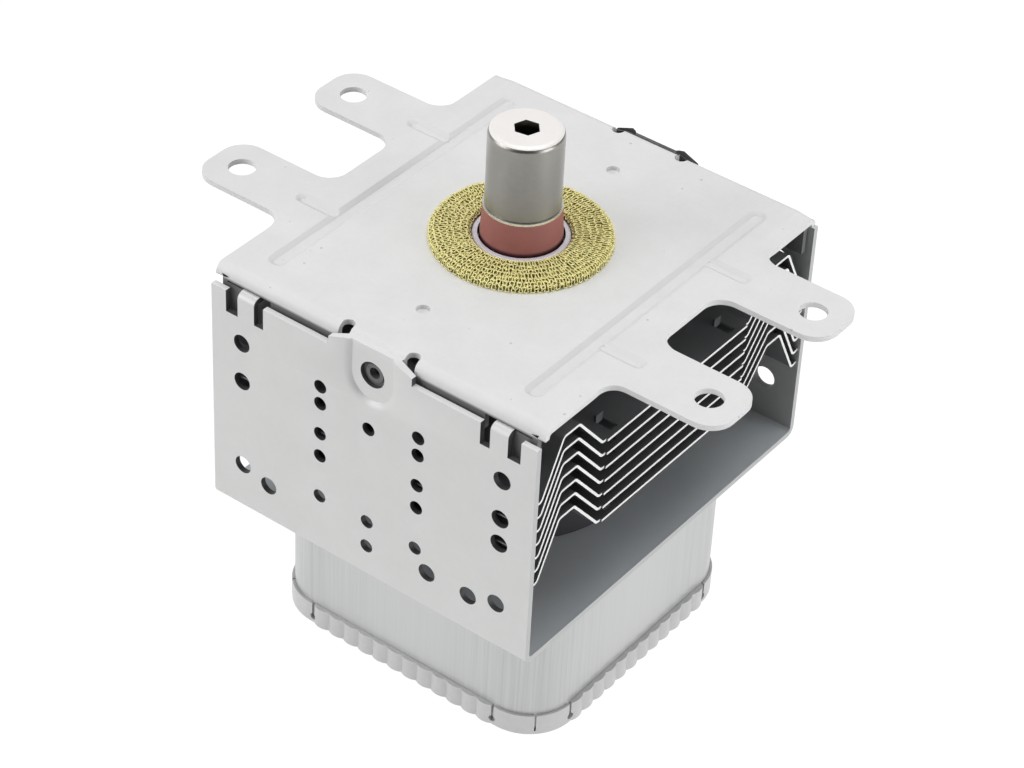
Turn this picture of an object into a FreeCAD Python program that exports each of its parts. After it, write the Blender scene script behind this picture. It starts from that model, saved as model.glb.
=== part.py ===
"""Microwave-oven magnetron: a sealed tube between two ring magnets, clamped in a folded yoke.

Millimetres. The origin is on the antenna's axis at the upper face of the mounting plate. +Z points
along the antenna, X runs along the mounting ears (the air blows through the fins this way) and Y runs
across the two closed walls of the yoke.
"""
import FreeCAD, Part

import math
import os

import Sketcher

V = FreeCAD.Vector

# Every length that can be set by itself. Angles are in degrees.
SIZES = (
    # yoke
    ("yoke_width", 79.7),
    ("yoke_sheet", 1.3),
    ("yoke_bend", 2.3),
    ("yoke_edge_drop", 2.5),
    ("crown_half", 10.2),
    ("crown_drop", 0.7),
    ("thumb_depth", 0.55),
    ("thumb_half", 6.5),
    ("thumb_floor_half", 5.05),
    ("thumb_edge", 0.4),
    ("thumb_shift", 1.0),
    ("tongue_margin", 8.85),
    ("tongue_breadth", 4.2),
    ("tongue_drop", 3.3),
    ("tongue_overlap", 1.0),
    ("tongue_slot_inner", 2.3),
    ("tongue_slot_outer", 3.0),
    ("tongue_slot_drop", 9.0),
    ("vent_bore", 3.0),
    ("tool_bore", 4.0),
    ("rear_bore", 5.0),
    ("vent_reach", 12.1),
    ("vent_high_drop", 15.5),
    ("vent_high_pitch", 4.2),
    ("vent_middle_drop", 27.2),
    ("vent_middle_pitch", 5.6),
    ("vent_low_rise", 13.1),
    ("vent_foot_rise", 6.8),
    ("tool_margin", 7.7),
    ("tool_high_drop", 15.1),
    ("tool_middle_drop", 24.5),
    ("tool_middle_pitch", 6.1),
    ("tool_low_rise", 10.3),
    ("foot_row_rise", 8.4),
    ("foot_row_pitch", 6.75),
    ("foot_row_step", 10.2),
    # mounting plate
    ("plate_overhang", 0.35),
    ("plate_sheet", 1.2),
    ("plate_bend", 2.0),
    ("flange_drop", 6.8),
    ("lobe_drop", 10.0),
    ("lobe_slit_run", 1.6),
    ("flange_corner_cut", 4.15),
    ("ear_pitch", 115.0),
    ("ear_spacing", 35.2),
    ("ear_breadth", 15.3),
    ("ear_nose", 7.0),
    ("ear_corner", 5.4),
    ("ear_crotch", 4.4),
    ("ear_root", 3.8),
    ("ear_bore", 5.8),
    ("pip_bore", 2.9),
    ("pip_depth", 0.9),
    ("pip_reach", 30.9),
    ("rib_margin", 8.8),
    ("rib_end_margin", 6.4),
    ("rib_breadth", 4.2),
    ("rib_depth", 0.45),
    ("rib_slope", 68.0),
    ("ear_rib_run", 11.4),
    ("ear_rib_breadth", 3.4),
    ("notch_reach", 7.95),
    ("notch_breadth", 2.7),
    ("notch_length", 2.8),
    ("tab_cover", 4.6),
    ("tab_bend", 1.6),
    ("clinch_drop", 7.0),
    ("clinch_hole", 5.8),
    ("clinch_gap", 0.8),
    ("clinch_bore", 2.5),
    ("clinch_rise", 0.25),
    # clearances
    ("fit_gap", 0.05),
    ("slide_gap", 0.15),
    ("air_gap", 0.4),
    ("lap_gap", 0.55),
    ("throat_gap", 0.9),
    # antenna stack, from the cap outwards
    ("cap_radius", 7.65),
    ("cap_wall", 0.5),
    ("cap_top", 26.1),
    ("cap_round", 1.3),
    ("cap_hex_radius", 2.75),
    ("cap_hex_turn", 11.0),
    ("brim_overhang", 0.35),
    ("brim_sheet", 0.5),
    ("ceramic_taper", 0.4),
    ("ceramic_wall", 2.35),
    ("ceramic_top", 8.25),
    ("ceramic_foot_drop", 1.6),
    ("neck_lip_width", 0.55),
    ("neck_wall", 0.6),
    ("neck_rise", 1.3),
    ("seat_sheet", 0.6),
    ("gasket_radius", 18.6),
    ("gasket_height", 2.1),
    ("gasket_round", 0.9),
    ("exhaust_radius", 3.0),
    ("exhaust_wall", 0.6),
    ("exhaust_top", 21.5),
    # magnets and tube
    ("magnet_radius", 27.0),
    ("magnet_height", 12.0),
    ("magnet_edge", 0.8),
    ("anode_radius", 19.6),
    ("anode_wall", 2.2),
    ("anode_length", 28.5),
    ("vane_tip", 4.6),
    ("vane_sheet", 1.9),
    ("vane_height", 9.2),
    ("strap_width", 0.9),
    ("strap_height", 0.8),
    ("pole_sheet", 1.6),
    ("pole_boss", 6.6),
    ("pole_bore", 4.7),
    ("pole_reach", 4.8),
    ("hat_radius", 3.4),
    ("hat_sheet", 1.1),
    ("coil_radius", 2.2),
    ("coil_wire", 0.6),
    ("lead_radius", 0.65),
    ("antenna_lead_radius", 1.2),
    # fins, from the magnet's edge out to the yoke
    ("fin_sheet", 0.55),
    ("fin_pitch", 3.36),
    ("fin_clear", 3.0),
    ("fin_side_gap", 0.2),
    ("fin_hat_inset", 0.4),
    ("fin_tuck", 2.3),
    ("fin_climb", 8.15),
    ("fin_peak_run", 4.75),
    ("fin_fall", 6.35),
    ("fin_lip", 1.35),
    ("fin_peak_rise", 9.45),
    ("fin_heel_drop", 2.65),
    ("fin_tip_rise", 0.4),
    ("fin_bend", 1.1),
    ("lance_margin", 1.25),
    ("lance_inset", 4.8),
    ("lance_breadth", 2.2),
    ("lance_length", 3.5),
    ("lance_rise", 1.6),
    # filter box
    ("box_width", 70.2),
    ("box_depth", 68.0),
    ("box_corner", 10.5),
    ("box_shoulder", 3.0),
    ("box_sheet", 0.8),
    ("box_height", 35.5),
    ("lid_sheet", 0.8),
    ("lid_skirt", 5.0),
    ("lid_skirt_wall", 0.6),
    ("flute_rise", 0.55),
    ("flute_front_margin", 1.0),
    ("slit_breadth", 0.6),
    ("slit_relief", 1.5),
    ("corner_slit", 0.4),
    # stem and filter parts
    ("stem_height", 7.0),
    ("stem_fall", 6.8),
    ("terminal_radius", 2.0),
    ("terminal_height", 1.4),
    ("core_radius", 2.2),
    ("core_end", 1.5),
    ("winding_length", 12.0),
    ("winding_wire", 1.3),
    ("choke_fall", 8.1),
    # connector
    ("bay_width", 25.0),
    ("bay_height", 14.0),
    ("bay_reach", 15.5),
    ("bay_inner", 13.0),
    ("bay_wall", 1.6),
    ("bay_rib", 1.8),
    ("bay_floor", 4.0),
    ("bay_flange_rim", 2.5),
    ("bay_flange_sheet", 1.0),
    ("rivet_margin", 4.1),
    ("rivet_edge", 3.9),
    ("rivet_radius", 1.6),
    ("rivet_head", 2.9),
    ("rivet_head_rise", 1.0),
    ("blade_width", 6.3),
    ("blade_sheet", 0.8),
    ("blade_reach", 10.0),
)

FIN_COUNT = 7
VANE_COUNT = 10
FLUTE_COUNT = 12
COIL_TURNS = 7

doc = FreeCAD.newDocument("Magnetron")
sheet = doc.addObject("Spreadsheet::Sheet", "Sizes")
SUBPARTS = []


class Size:
    """A length with its present value and the sheet expression that it comes from."""

    def __init__(self, value, text):
        self.value = value
        self.text = text

    def __add__(self, other):
        other = size(other)
        return Size(self.value + other.value, "(%s + %s)" % (self.text, other.text))

    def __radd__(self, other):
        return size(other) + self

    def __sub__(self, other):
        other = size(other)
        return Size(self.value - other.value, "(%s - %s)" % (self.text, other.text))

    def __rsub__(self, other):
        return size(other) - self

    def __mul__(self, other):
        other = size(other)
        return Size(self.value * other.value, "(%s * %s)" % (self.text, other.text))

    def __rmul__(self, other):
        return size(other) * self

    def __truediv__(self, other):
        other = size(other)
        return Size(self.value / other.value, "(%s / %s)" % (self.text, other.text))

    def __neg__(self):
        return Size(-self.value, "(0 - %s)" % self.text)


def size(number):
    """A plain number as a Size."""
    if isinstance(number, Size):
        return number
    return Size(float(number), "(%.6f)" % number if number < 0 else "%.6f" % number)


def root(number):
    """The square root of a Size."""
    return Size(math.sqrt(number.value), "sqrt(%s)" % number.text)


class Table:
    """The sizes of the sheet, as attributes."""


S = Table()
for row, (alias, number) in enumerate(SIZES, 1):
    sheet.set("A%d" % row, alias)
    sheet.set("B%d" % row, str(number))
    sheet.setAlias("B%d" % row, alias)
    setattr(S, alias, Size(float(number), "Sizes.%s" % alias))
doc.recompute()


# Levels, from the plate down through the tube to the lid.
PLATE_UNDER = -S.plate_sheet
UPPER_MAGNET_BASE = PLATE_UNDER - S.magnet_height
ANODE_TOP = UPPER_MAGNET_BASE - S.seat_sheet
ANODE_BASE = ANODE_TOP - S.anode_length
ANODE_MIDDLE = (ANODE_TOP + ANODE_BASE) / 2
LOWER_MAGNET_TOP = ANODE_BASE - S.seat_sheet
YOKE_FLOOR = LOWER_MAGNET_TOP - S.magnet_height
YOKE_BASE = YOKE_FLOOR - S.yoke_sheet
STEM_FOOT = YOKE_BASE - S.stem_fall
TERMINAL_BASE = STEM_FOOT - S.terminal_height
BAY_LEVEL = TERMINAL_BASE - S.choke_fall
BOX_TOP = YOKE_BASE
BOX_BASE = BOX_TOP - S.box_height
LID_BASE = BOX_BASE - S.lid_sheet
BRIM_TOP = S.ceramic_top + S.brim_sheet

# Radii, from the cap out to the magnets' bore.
BRIM_RADIUS = S.cap_radius + S.brim_overhang
CERAMIC_HEAD = BRIM_RADIUS - S.fit_gap
CERAMIC_BORE = CERAMIC_HEAD - S.ceramic_wall
CERAMIC_FOOT = CERAMIC_HEAD + S.ceramic_taper
NECK_LIP = CERAMIC_FOOT + S.air_gap
NECK_INNER = NECK_LIP + S.neck_lip_width
NECK_RADIUS = NECK_INNER + S.neck_wall
NECK_HOLE = NECK_RADIUS + S.air_gap
MAGNET_BORE = NECK_RADIUS + S.throat_gap
ANODE_BORE = S.anode_radius - S.anode_wall
LEAD_REACH = NECK_INNER - S.antenna_lead_radius - S.slide_gap
SIDE_LEAD_REACH = S.coil_radius + S.coil_wire / 2

# Reaches across, from the magnet's edge along a fin to the yoke's walls and the plate's flanges.
FIN_FOOT = S.magnet_radius - S.fin_tuck
FIN_PEAK = FIN_FOOT + S.fin_climb
FIN_BROW = FIN_PEAK + S.fin_peak_run
FIN_HEEL = FIN_BROW + S.fin_fall
FIN_TIP = FIN_HEEL + S.fin_lip
YOKE_INNER = FIN_TIP + S.fin_sheet / 2 + S.fit_gap
YOKE_WALL = YOKE_INNER + S.yoke_sheet
FLANGE_FACE = YOKE_INNER - S.lap_gap
TAB_FACE = YOKE_INNER - S.thumb_depth - S.fit_gap
NOTCH_FLOOR = FLANGE_FACE - S.notch_length

# Reaches along the ears.
YOKE_SIDE = S.yoke_width / 2
PLATE_SIDE = YOKE_SIDE + S.plate_overhang
FIN_SIDE = YOKE_SIDE - S.fin_side_gap
TONGUE_REACH = YOKE_SIDE - S.tongue_margin
TONGUE_INNER = TONGUE_REACH - S.tongue_breadth / 2
TONGUE_OUTER = TONGUE_REACH + S.tongue_breadth / 2
TOOL_REACH = YOKE_SIDE - S.tool_margin
CHOKE_REACH = (S.bay_rib / 2 + S.bay_width / 2 - S.bay_wall) / 2
RIVET_REACH = S.bay_width / 2 + S.rivet_margin


def bind(obj, name, number):
    """Tie one property of an object to a sheet expression."""
    obj.setExpression(name, size(number).text)


def seat(obj, x=0, y=0, z=0, turn=None):
    """Place an object; turn is (axis, degrees)."""
    if turn:
        obj.Placement = FreeCAD.Placement(V(0, 0, 0), FreeCAD.Rotation(turn[0], turn[1]))
    for name, number in (("x", x), ("y", y), ("z", z)):
        if isinstance(number, Size) or number:
            bind(obj, "Placement.Base." + name, number)
    return obj


def box(name, x, y, z):
    """A block between two limits on each axis."""
    obj = doc.addObject("Part::Box", name)
    for prop, (low, high) in (("Length", x), ("Width", y), ("Height", z)):
        bind(obj, prop, size(high) - size(low))
    return seat(obj, size(x[0]), size(y[0]), size(z[0]))


def rod(name, radius, z, x=0, y=0):
    """An upright cylinder between two levels."""
    obj = doc.addObject("Part::Cylinder", name)
    bind(obj, "Radius", radius)
    bind(obj, "Height", size(z[1]) - size(z[0]))
    return seat(obj, x, y, size(z[0]))


def cross_rod(name, radius, y, x=0, z=0):
    """A cylinder along Y between two limits."""
    obj = doc.addObject("Part::Cylinder", name)
    bind(obj, "Radius", radius)
    bind(obj, "Height", size(y[1]) - size(y[0]))
    return seat(obj, x, size(y[0]), z, (V(1, 0, 0), -90))


def fuse(name, shapes):
    """Join pieces into one solid."""
    obj = doc.addObject("Part::MultiFuse", name)
    obj.Shapes = shapes
    obj.Refine = True
    return obj


def cut(name, base, tools):
    """Take tools away from a base."""
    tool = tools[0] if len(tools) == 1 else fuse(name + "_tools", tools)
    obj = doc.addObject("Part::Cut", name)
    obj.Base = base
    obj.Tool = tool
    obj.Refine = True
    return obj


def common(name, base, tool):
    """Keep what two pieces share."""
    obj = doc.addObject("Part::Common", name)
    obj.Base = base
    obj.Tool = tool
    obj.Refine = True
    return obj


def round_edges(name, base, pick, radius, kind="Part::Fillet"):
    """Round every edge of a piece that pick accepts."""
    doc.recompute()
    edges = [i for i, e in enumerate(base.Shape.Edges, 1) if pick(e)]
    if not edges:
        raise RuntimeError("no edge to round on " + name)
    obj = doc.addObject(kind, name)
    obj.Base = base
    obj.Edges = [(i, size(radius).value, size(radius).value) for i in edges]
    return obj


def near(one, other, slack=0.01):
    """True if two numbers are the same length."""
    return abs(one - other) < slack


def runs_along(edge, axis):
    """True if a straight edge follows one axis (0, 1 or 2)."""
    if len(edge.Vertexes) < 2:
        return False
    d = edge.Vertexes[1].Point - edge.Vertexes[0].Point
    side = [abs(d.x), abs(d.y), abs(d.z)]
    return edge.Curve.TypeId == "Part::GeomLine" and near(sum(side), side[axis])


def flat_at(edge, axis, level):
    """True if an edge lies whole in a plane square to one axis."""
    bounds = edge.BoundBox
    low = (bounds.XMin, bounds.YMin, bounds.ZMin)[axis]
    high = (bounds.XMax, bounds.YMax, bounds.ZMax)[axis]
    return near(low, level) and near(high, level)


def publish(label, obj):
    """Name a finished sub-part and keep it for writing."""
    obj.Label = label
    SUBPARTS.append((label, obj))
    return obj


# Sketch outlines: a node is (x, y), or (x, y, (cx, cy)) where an arc about that centre leads to the
# next node.

def corner_nodes(points):
    """Nodes of an outline of square corners, each point (x, y, radius or None)."""
    nodes = []
    count = len(points)
    for i, (x, y, radius) in enumerate(points):
        if radius is None:
            nodes.append((size(x), size(y)))
            continue
        before = points[i - 1]
        after = points[(i + 1) % count]
        x, y = size(x), size(y)
        into = (sign(x.value - size(before[0]).value), sign(y.value - size(before[1]).value))
        away = (sign(size(after[0]).value - x.value), sign(size(after[1]).value - y.value))
        start = (x - radius * into[0], y - radius * into[1])
        end = (x + radius * away[0], y + radius * away[1])
        centre = (x - radius * into[0] + radius * away[0], y - radius * into[1] + radius * away[1])
        nodes.append((start[0], start[1], centre))
        nodes.append(end)
    return nodes


def bend_nodes(points, radius):
    """Nodes of an open path of straight runs joined by tangent arcs of one radius."""
    nodes = [points[0]]
    for before, here, after in zip(points, points[1:], points[2:]):
        ax, ay = here[0] - before[0], here[1] - before[1]
        bx, by = after[0] - here[0], after[1] - here[1]
        along = root(ax * ax + ay * ay)
        onward = root(bx * bx + by * by)
        ux, uy, wx, wy = ax / along, ay / along, bx / onward, by / onward
        side = sign(ux.value * wy.value - uy.value * wx.value)
        trim = radius * ((ux * wy - uy * wx) * side) / (1 + (ux * wx + uy * wy))
        start = (here[0] - ux * trim, here[1] - uy * trim)
        end = (here[0] + wx * trim, here[1] + wy * trim)
        centre = (start[0] - uy * radius * side, start[1] + ux * radius * side)
        nodes.append((start[0], start[1], centre))
        nodes.append(end)
    nodes.append(points[-1])
    return nodes


def sign(number):
    """-1, 0 or 1."""
    return (number > 1e-9) - (number < -1e-9)


def draw(sketch, nodes, closed=True):
    """Add an outline to a sketch, with every node held by sheet expressions."""
    first = sketch.GeometryCount
    nodes = [(size(n[0]), size(n[1])) + tuple(n[2:]) for n in nodes]
    count = len(nodes)
    pieces = count if closed else count - 1
    held = []
    for i in range(pieces):
        here, after = nodes[i], nodes[(i + 1) % count]
        p = V(here[0].value, here[1].value, 0)
        q = V(after[0].value, after[1].value, 0)
        if len(here) == 2:
            sketch.addGeometry(Part.LineSegment(p, q))
            held.append((False, None))
            continue
        c = V(here[2][0].value, here[2][1].value, 0)
        radius = (p - c).Length
        start = math.atan2(p.y - c.y, p.x - c.x)
        end = math.atan2(q.y - c.y, q.x - c.x)
        turn = (end - start) % (2 * math.pi)
        backward = turn > math.pi
        if backward:
            start, end = end, start
        circle = Part.Circle(c, V(0, 0, 1), radius)
        sketch.addGeometry(Part.ArcOfCircle(circle, start, end))
        held.append((backward, here[2]))
    for i in range(pieces):
        backward = held[i][0]
        if i + 1 < pieces or closed:
            other = (i + 1) % pieces
            tail = 1 if backward else 2
            head = 2 if held[other][0] else 1
            sketch.addConstraint(Sketcher.Constraint("Coincident", first + i, tail, first + other, head))
    for i in range(count):
        piece = min(i, pieces - 1)
        head = 2 if held[piece][0] else 1
        if piece != i:
            head = 1 if held[piece][0] else 2
        fix(sketch, first + piece, head, nodes[i][0], nodes[i][1])
    for i in range(pieces):
        if held[i][1]:
            here, after = nodes[i], nodes[(i + 1) % count]
            flat = abs(after[0].value - here[0].value) > abs(after[1].value - here[1].value)
            axis = 1 if flat else 0
            hold(sketch, first + i, 3, axis, held[i][1][axis])


def hold(sketch, piece, point, axis, number):
    """Hold one coordinate of a sketch point at a sheet expression."""
    kind = ("DistanceX", "DistanceY")[axis]
    number = size(number)
    index = sketch.addConstraint(Sketcher.Constraint(kind, -1, 1, piece, point, number.value))
    sketch.setExpression("Constraints[%d]" % index, number.text)


def fix(sketch, piece, point, x, y):
    """Hold a sketch point."""
    hold(sketch, piece, point, 0, x)
    hold(sketch, piece, point, 1, y)


def ring(sketch, x, y, radius):
    """Add a circle to a sketch."""
    x, y, radius = size(x), size(y), size(radius)
    index = sketch.addGeometry(Part.Circle(V(x.value, y.value, 0), V(0, 0, 1), radius.value))
    fix(sketch, index, 3, x, y)
    held = sketch.addConstraint(Sketcher.Constraint("Radius", index, radius.value))
    sketch.setExpression("Constraints[%d]" % held, radius.text)


def rectangle(sketch, x, y):
    """Add a rectangle between limits to a sketch."""
    draw(sketch, [(x[0], y[0]), (x[1], y[0]), (x[1], y[1]), (x[0], y[1])])


def body(name):
    """A new body."""
    return doc.addObject("PartDesign::Body", name)


def sketch_on(holder, name, role, offset=0):
    """A sketch on one of a body's own planes, moved along the plane's normal."""
    sketch = holder.newObject("Sketcher::SketchObject", name)
    plane = [f for f in holder.Origin.OriginFeatures if f.Role == role][0]
    sketch.AttachmentSupport = [(plane, "")]
    sketch.MapMode = "FlatFace"
    if isinstance(offset, Size) or offset:
        bind(sketch, "AttachmentOffset.Base.z", offset)
    return sketch


def free_sketch(name, turn=None):
    """A sketch outside any body; turn is (axis, degrees)."""
    sketch = doc.addObject("Sketcher::SketchObject", name)
    if turn:
        sketch.Placement = FreeCAD.Placement(V(0, 0, 0), turn)
    return sketch


UPRIGHT_YZ = FreeCAD.Rotation(V(1, 1, 1), 120)
UPRIGHT_XZ = FreeCAD.Rotation(V(1, 0, 0), 90)


def pad(holder, sketch, length, side="One side", reverse=False, taper=None):
    """Raise a sketch into material."""
    obj = holder.newObject("PartDesign::Pad", sketch.Name + "_pad")
    obj.Profile = sketch
    obj.SideType = side
    obj.Reversed = reverse
    bind(obj, "Length", length)
    if taper is not None:
        obj.TaperAngle = taper
    return obj


def pocket(holder, sketch, length=None, side="One side", reverse=False):
    """Cut a sketch out of material; without a length, right through both ways."""
    obj = holder.newObject("PartDesign::Pocket", sketch.Name + "_pocket")
    obj.Profile = sketch
    if length is None:
        obj.Type = "ThroughAll"
        obj.SideType = "Symmetric"
    else:
        obj.SideType = side
        obj.Reversed = reverse
        bind(obj, "Length", length)
    return obj


def soften(holder, name, base, pick, radius):
    """Round the edges of a body's last feature that pick accepts."""
    doc.recompute()
    edges = ["Edge%d" % i for i, e in enumerate(base.Shape.Edges, 1) if pick(e)]
    if not edges:
        raise RuntimeError("no edge to round on " + name)
    obj = holder.newObject("PartDesign::Fillet", name)
    obj.Base = (base, edges)
    bind(obj, "Radius", radius)
    doc.recompute()
    return obj


def bevel(holder, name, base, pick, length):
    """Slope the edges of a body's last feature that pick accepts."""
    doc.recompute()
    edges = ["Edge%d" % i for i, e in enumerate(base.Shape.Edges, 1) if pick(e)]
    if not edges:
        raise RuntimeError("no edge to slope on " + name)
    obj = holder.newObject("PartDesign::Chamfer", name)
    obj.Base = (base, edges)
    bind(obj, "Size", length)
    doc.recompute()
    return obj


def turned(name, points):
    """A solid of revolution about Z from (radius, z) points."""
    sketch = free_sketch(name + "_half", UPRIGHT_XZ)
    draw(sketch, points)
    obj = doc.addObject("Part::Revolution", name)
    obj.Source = sketch
    obj.Axis = V(0, 0, 1)
    obj.Base = V(0, 0, 0)
    obj.Angle = 360.0
    obj.Solid = True
    return obj


def extruded(name, sketch, low, high):
    """A solid from a free sketch in the XY plane between two levels."""
    obj = doc.addObject("Part::Extrusion", name)
    obj.Base = sketch
    obj.DirMode = "Custom"
    obj.Dir = V(0, 0, 1)
    obj.Solid = True
    bind(obj, "LengthFwd", size(high) - size(low))
    return seat(obj, 0, 0, size(low))


def rounded_block(name, half_x, half_y, corner, low, high):
    """An upright block with rounded corners."""
    sketch = free_sketch(name + "_plan")
    draw(sketch, corner_nodes([
        (-half_x, -half_y, corner), (half_x, -half_y, corner),
        (half_x, half_y, corner), (-half_x, half_y, corner)]))
    return extruded(name, sketch, low, high)


# Yoke.

def yoke_holes():
    """Centres and radii of the holes in a yoke wall, (x, z, radius)."""
    small, large = S.vent_bore / 2, S.tool_bore / 2
    second = -S.vent_high_drop - S.vent_high_pitch
    third = -S.vent_middle_drop
    low, foot = YOKE_BASE + S.vent_low_rise, YOKE_BASE + S.vent_foot_rise
    holes = []
    for x in (-S.vent_reach, S.vent_reach):
        for z in (-S.vent_high_drop, second, third, third - S.vent_middle_pitch, low):
            holes.append((x, z, small))
    for z in (second, low, foot):
        holes.append((size(0), z, small))
    middle = -S.tool_middle_drop
    row = YOKE_BASE + S.foot_row_rise
    outer = TOOL_REACH - S.foot_row_pitch
    holes.append((-TOOL_REACH, middle, large))
    holes.append((TOOL_REACH, middle, large))
    holes.append((TOOL_REACH, middle - S.tool_middle_pitch, large))
    holes.append((-outer, row, large))
    holes.append((outer, row, large))
    holes.append((outer - S.foot_row_step, row, large))
    return holes


def yoke():
    """The folded U bracket, its clinch recess, lock tongues and vent holes."""
    holder = body("yoke_body")
    top = -S.crown_drop
    fold = sketch_on(holder, "yoke_fold", "YZ_Plane")
    draw(fold, [
        (-YOKE_WALL, top), (-YOKE_WALL, YOKE_BASE), (YOKE_WALL, YOKE_BASE), (YOKE_WALL, top),
        (YOKE_INNER, top), (YOKE_INNER, YOKE_FLOOR), (-YOKE_INNER, YOKE_FLOOR), (-YOKE_INNER, top)])
    last = pad(holder, fold, S.yoke_width, "Symmetric")
    last = soften(holder, "yoke_outer_bend", last, lambda e: runs_along(e, 0)
                  and flat_at(e, 2, YOKE_BASE.value) and near(abs(e.CenterOfMass.y), YOKE_WALL.value),
                  S.yoke_bend)
    soften(holder, "yoke_inner_bend", last, lambda e: runs_along(e, 0)
           and flat_at(e, 2, YOKE_FLOOR.value) and near(abs(e.CenterOfMass.y), YOKE_INNER.value),
           S.yoke_bend - S.yoke_sheet)

    # shoulders either side of the crown, and the slots that free the lock tongues
    edge = -S.yoke_edge_drop
    beyond = YOKE_SIDE + 1
    shoulder = sketch_on(holder, "yoke_shoulder", "XZ_Plane")
    rectangle(shoulder, (S.crown_half, beyond), (edge, size(1)))
    rectangle(shoulder, (-beyond, -S.crown_half), (edge, size(1)))
    pocket(holder, shoulder)
    inner, outer = TONGUE_INNER, TONGUE_OUTER
    slots = sketch_on(holder, "yoke_slots", "XZ_Plane")
    for k in (1, -1):
        draw(slots, [
            ((inner - S.tongue_slot_inner) * k, size(1)), ((outer + S.tongue_slot_outer) * k, size(1)),
            ((outer + S.tongue_slot_outer) * k, -S.tongue_slot_drop), (outer * k, -S.tongue_slot_drop),
            (outer * k, -S.tongue_drop), (inner * k, -S.tongue_drop),
            (inner * k, -S.tongue_slot_drop), ((inner - S.tongue_slot_inner) * k, -S.tongue_slot_drop)])
    pocket(holder, slots)

    # the tongues' turned-in ends
    under = -S.tongue_drop - S.yoke_sheet
    reach = FLANGE_FACE - S.plate_sheet - S.tongue_overlap
    for k, side in ((1, "right"), (-1, "left")):
        turned_in = sketch_on(holder, "yoke_tongue_" + side, "YZ_Plane", TONGUE_REACH * k)
        rectangle(turned_in, (-YOKE_WALL, -reach), (under, -S.tongue_drop))
        rectangle(turned_in, (reach, YOKE_WALL), (under, -S.tongue_drop))
        last = pad(holder, turned_in, S.tongue_breadth, "Symmetric")
    last = soften(holder, "yoke_tongue_bend", last, lambda e: runs_along(e, 0)
                  and flat_at(e, 2, -S.tongue_drop.value) and near(abs(e.CenterOfMass.y), YOKE_WALL.value)
                  and near(abs(e.CenterOfMass.x), TONGUE_REACH.value), S.yoke_sheet * 1.15)

    # thumb recess: material behind the wall, then the hollow in front of it
    crown = -S.crown_drop
    centre = -S.clinch_drop - S.thumb_shift
    for k, side in ((1, "front"), (-1, "rear")):
        boss = sketch_on(holder, "yoke_boss_" + side, "XZ_Plane", YOKE_INNER * k)
        draw(boss, [
            (-S.thumb_half, crown), (-S.thumb_half, centre, (size(0), centre)),
            (S.thumb_half, centre), (S.thumb_half, crown)])
        last = pad(holder, boss, S.thumb_depth, "One side", k == 1)
    doc.recompute()

    hollows = []
    floor = YOKE_WALL - S.thumb_depth
    ledge = floor + S.thumb_depth / 2
    ledge_half = S.thumb_floor_half + S.thumb_edge
    for k, side in ((1, "front"), (-1, "rear")):
        for step, start, small, large in (("floor", floor, S.thumb_floor_half, ledge_half),
                                          ("mouth", ledge, ledge_half, S.thumb_half)):
            cone = doc.addObject("Part::Cone", "yoke_thumb_%s_%s" % (step, side))
            bind(cone, "Radius1", small)
            bind(cone, "Radius2", large)
            bind(cone, "Height", S.thumb_depth / 2)
            hollows.append(seat(cone, 0, -start * k, centre, (V(1, 0, 0), 90 * k)))
        trough = free_sketch("yoke_thumb_section_" + side)
        draw(trough, [
            (-S.thumb_floor_half, -floor * k), (S.thumb_floor_half, -floor * k),
            (ledge_half, -ledge * k), (S.thumb_half, -YOKE_WALL * k), (-S.thumb_half, -YOKE_WALL * k),
            (-ledge_half, -ledge * k)])
        hollows.append(extruded("yoke_thumb_trough_" + side, trough, centre, size(1)))
    # bores through both walls; the rear wall's two large ones let the jig in
    for i, (x, z, radius) in enumerate(yoke_holes()):
        hollows.append(cross_rod("yoke_bore_%d" % i, radius, (-YOKE_WALL - 1, YOKE_WALL + 1), x, z))
    for k in (1, -1):
        for z, tag in ((-S.tool_high_drop, "high"), (YOKE_BASE + S.tool_low_rise, "low")):
            tag = "%s_%d" % (tag, k + 1)
            hollows.append(cross_rod("yoke_jig_front_" + tag, S.tool_bore / 2,
                                     (-YOKE_WALL - 1, size(0)), TOOL_REACH * k, z))
            hollows.append(cross_rod("yoke_jig_rear_" + tag, S.rear_bore / 2,
                                     (size(0), YOKE_WALL + 1), TOOL_REACH * k, z))
    hollows.append(cross_rod("yoke_clinch", S.clinch_hole / 2, (-YOKE_WALL - 1, YOKE_WALL + 1),
                             0, -S.clinch_drop))
    hollows.append(rod("yoke_throat", NECK_HOLE, (YOKE_BASE - 1, YOKE_FLOOR + 1)))
    publish("yoke", cut("yoke_solid", holder, hollows))


# Mounting plate.

def plate_outline():
    """Corners of the plate with its four ears, (x, y, radius)."""
    side = PLATE_SIDE
    outer = S.ear_spacing / 2 + S.ear_breadth / 2
    inner = S.ear_spacing / 2 - S.ear_breadth / 2
    nose = S.ear_pitch / 2 + S.ear_nose
    right = [
        (side, -FLANGE_FACE, None), (side, -outer, S.ear_root), (nose, -outer, S.ear_corner),
        (nose, -inner, S.ear_corner), (side, -inner, S.ear_crotch), (side, inner, S.ear_crotch),
        (nose, inner, S.ear_corner), (nose, outer, S.ear_corner), (side, outer, S.ear_root),
        (side, FLANGE_FACE, None)]
    left = [(-x, -y, radius) for x, y, radius in right]
    return right + left


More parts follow.
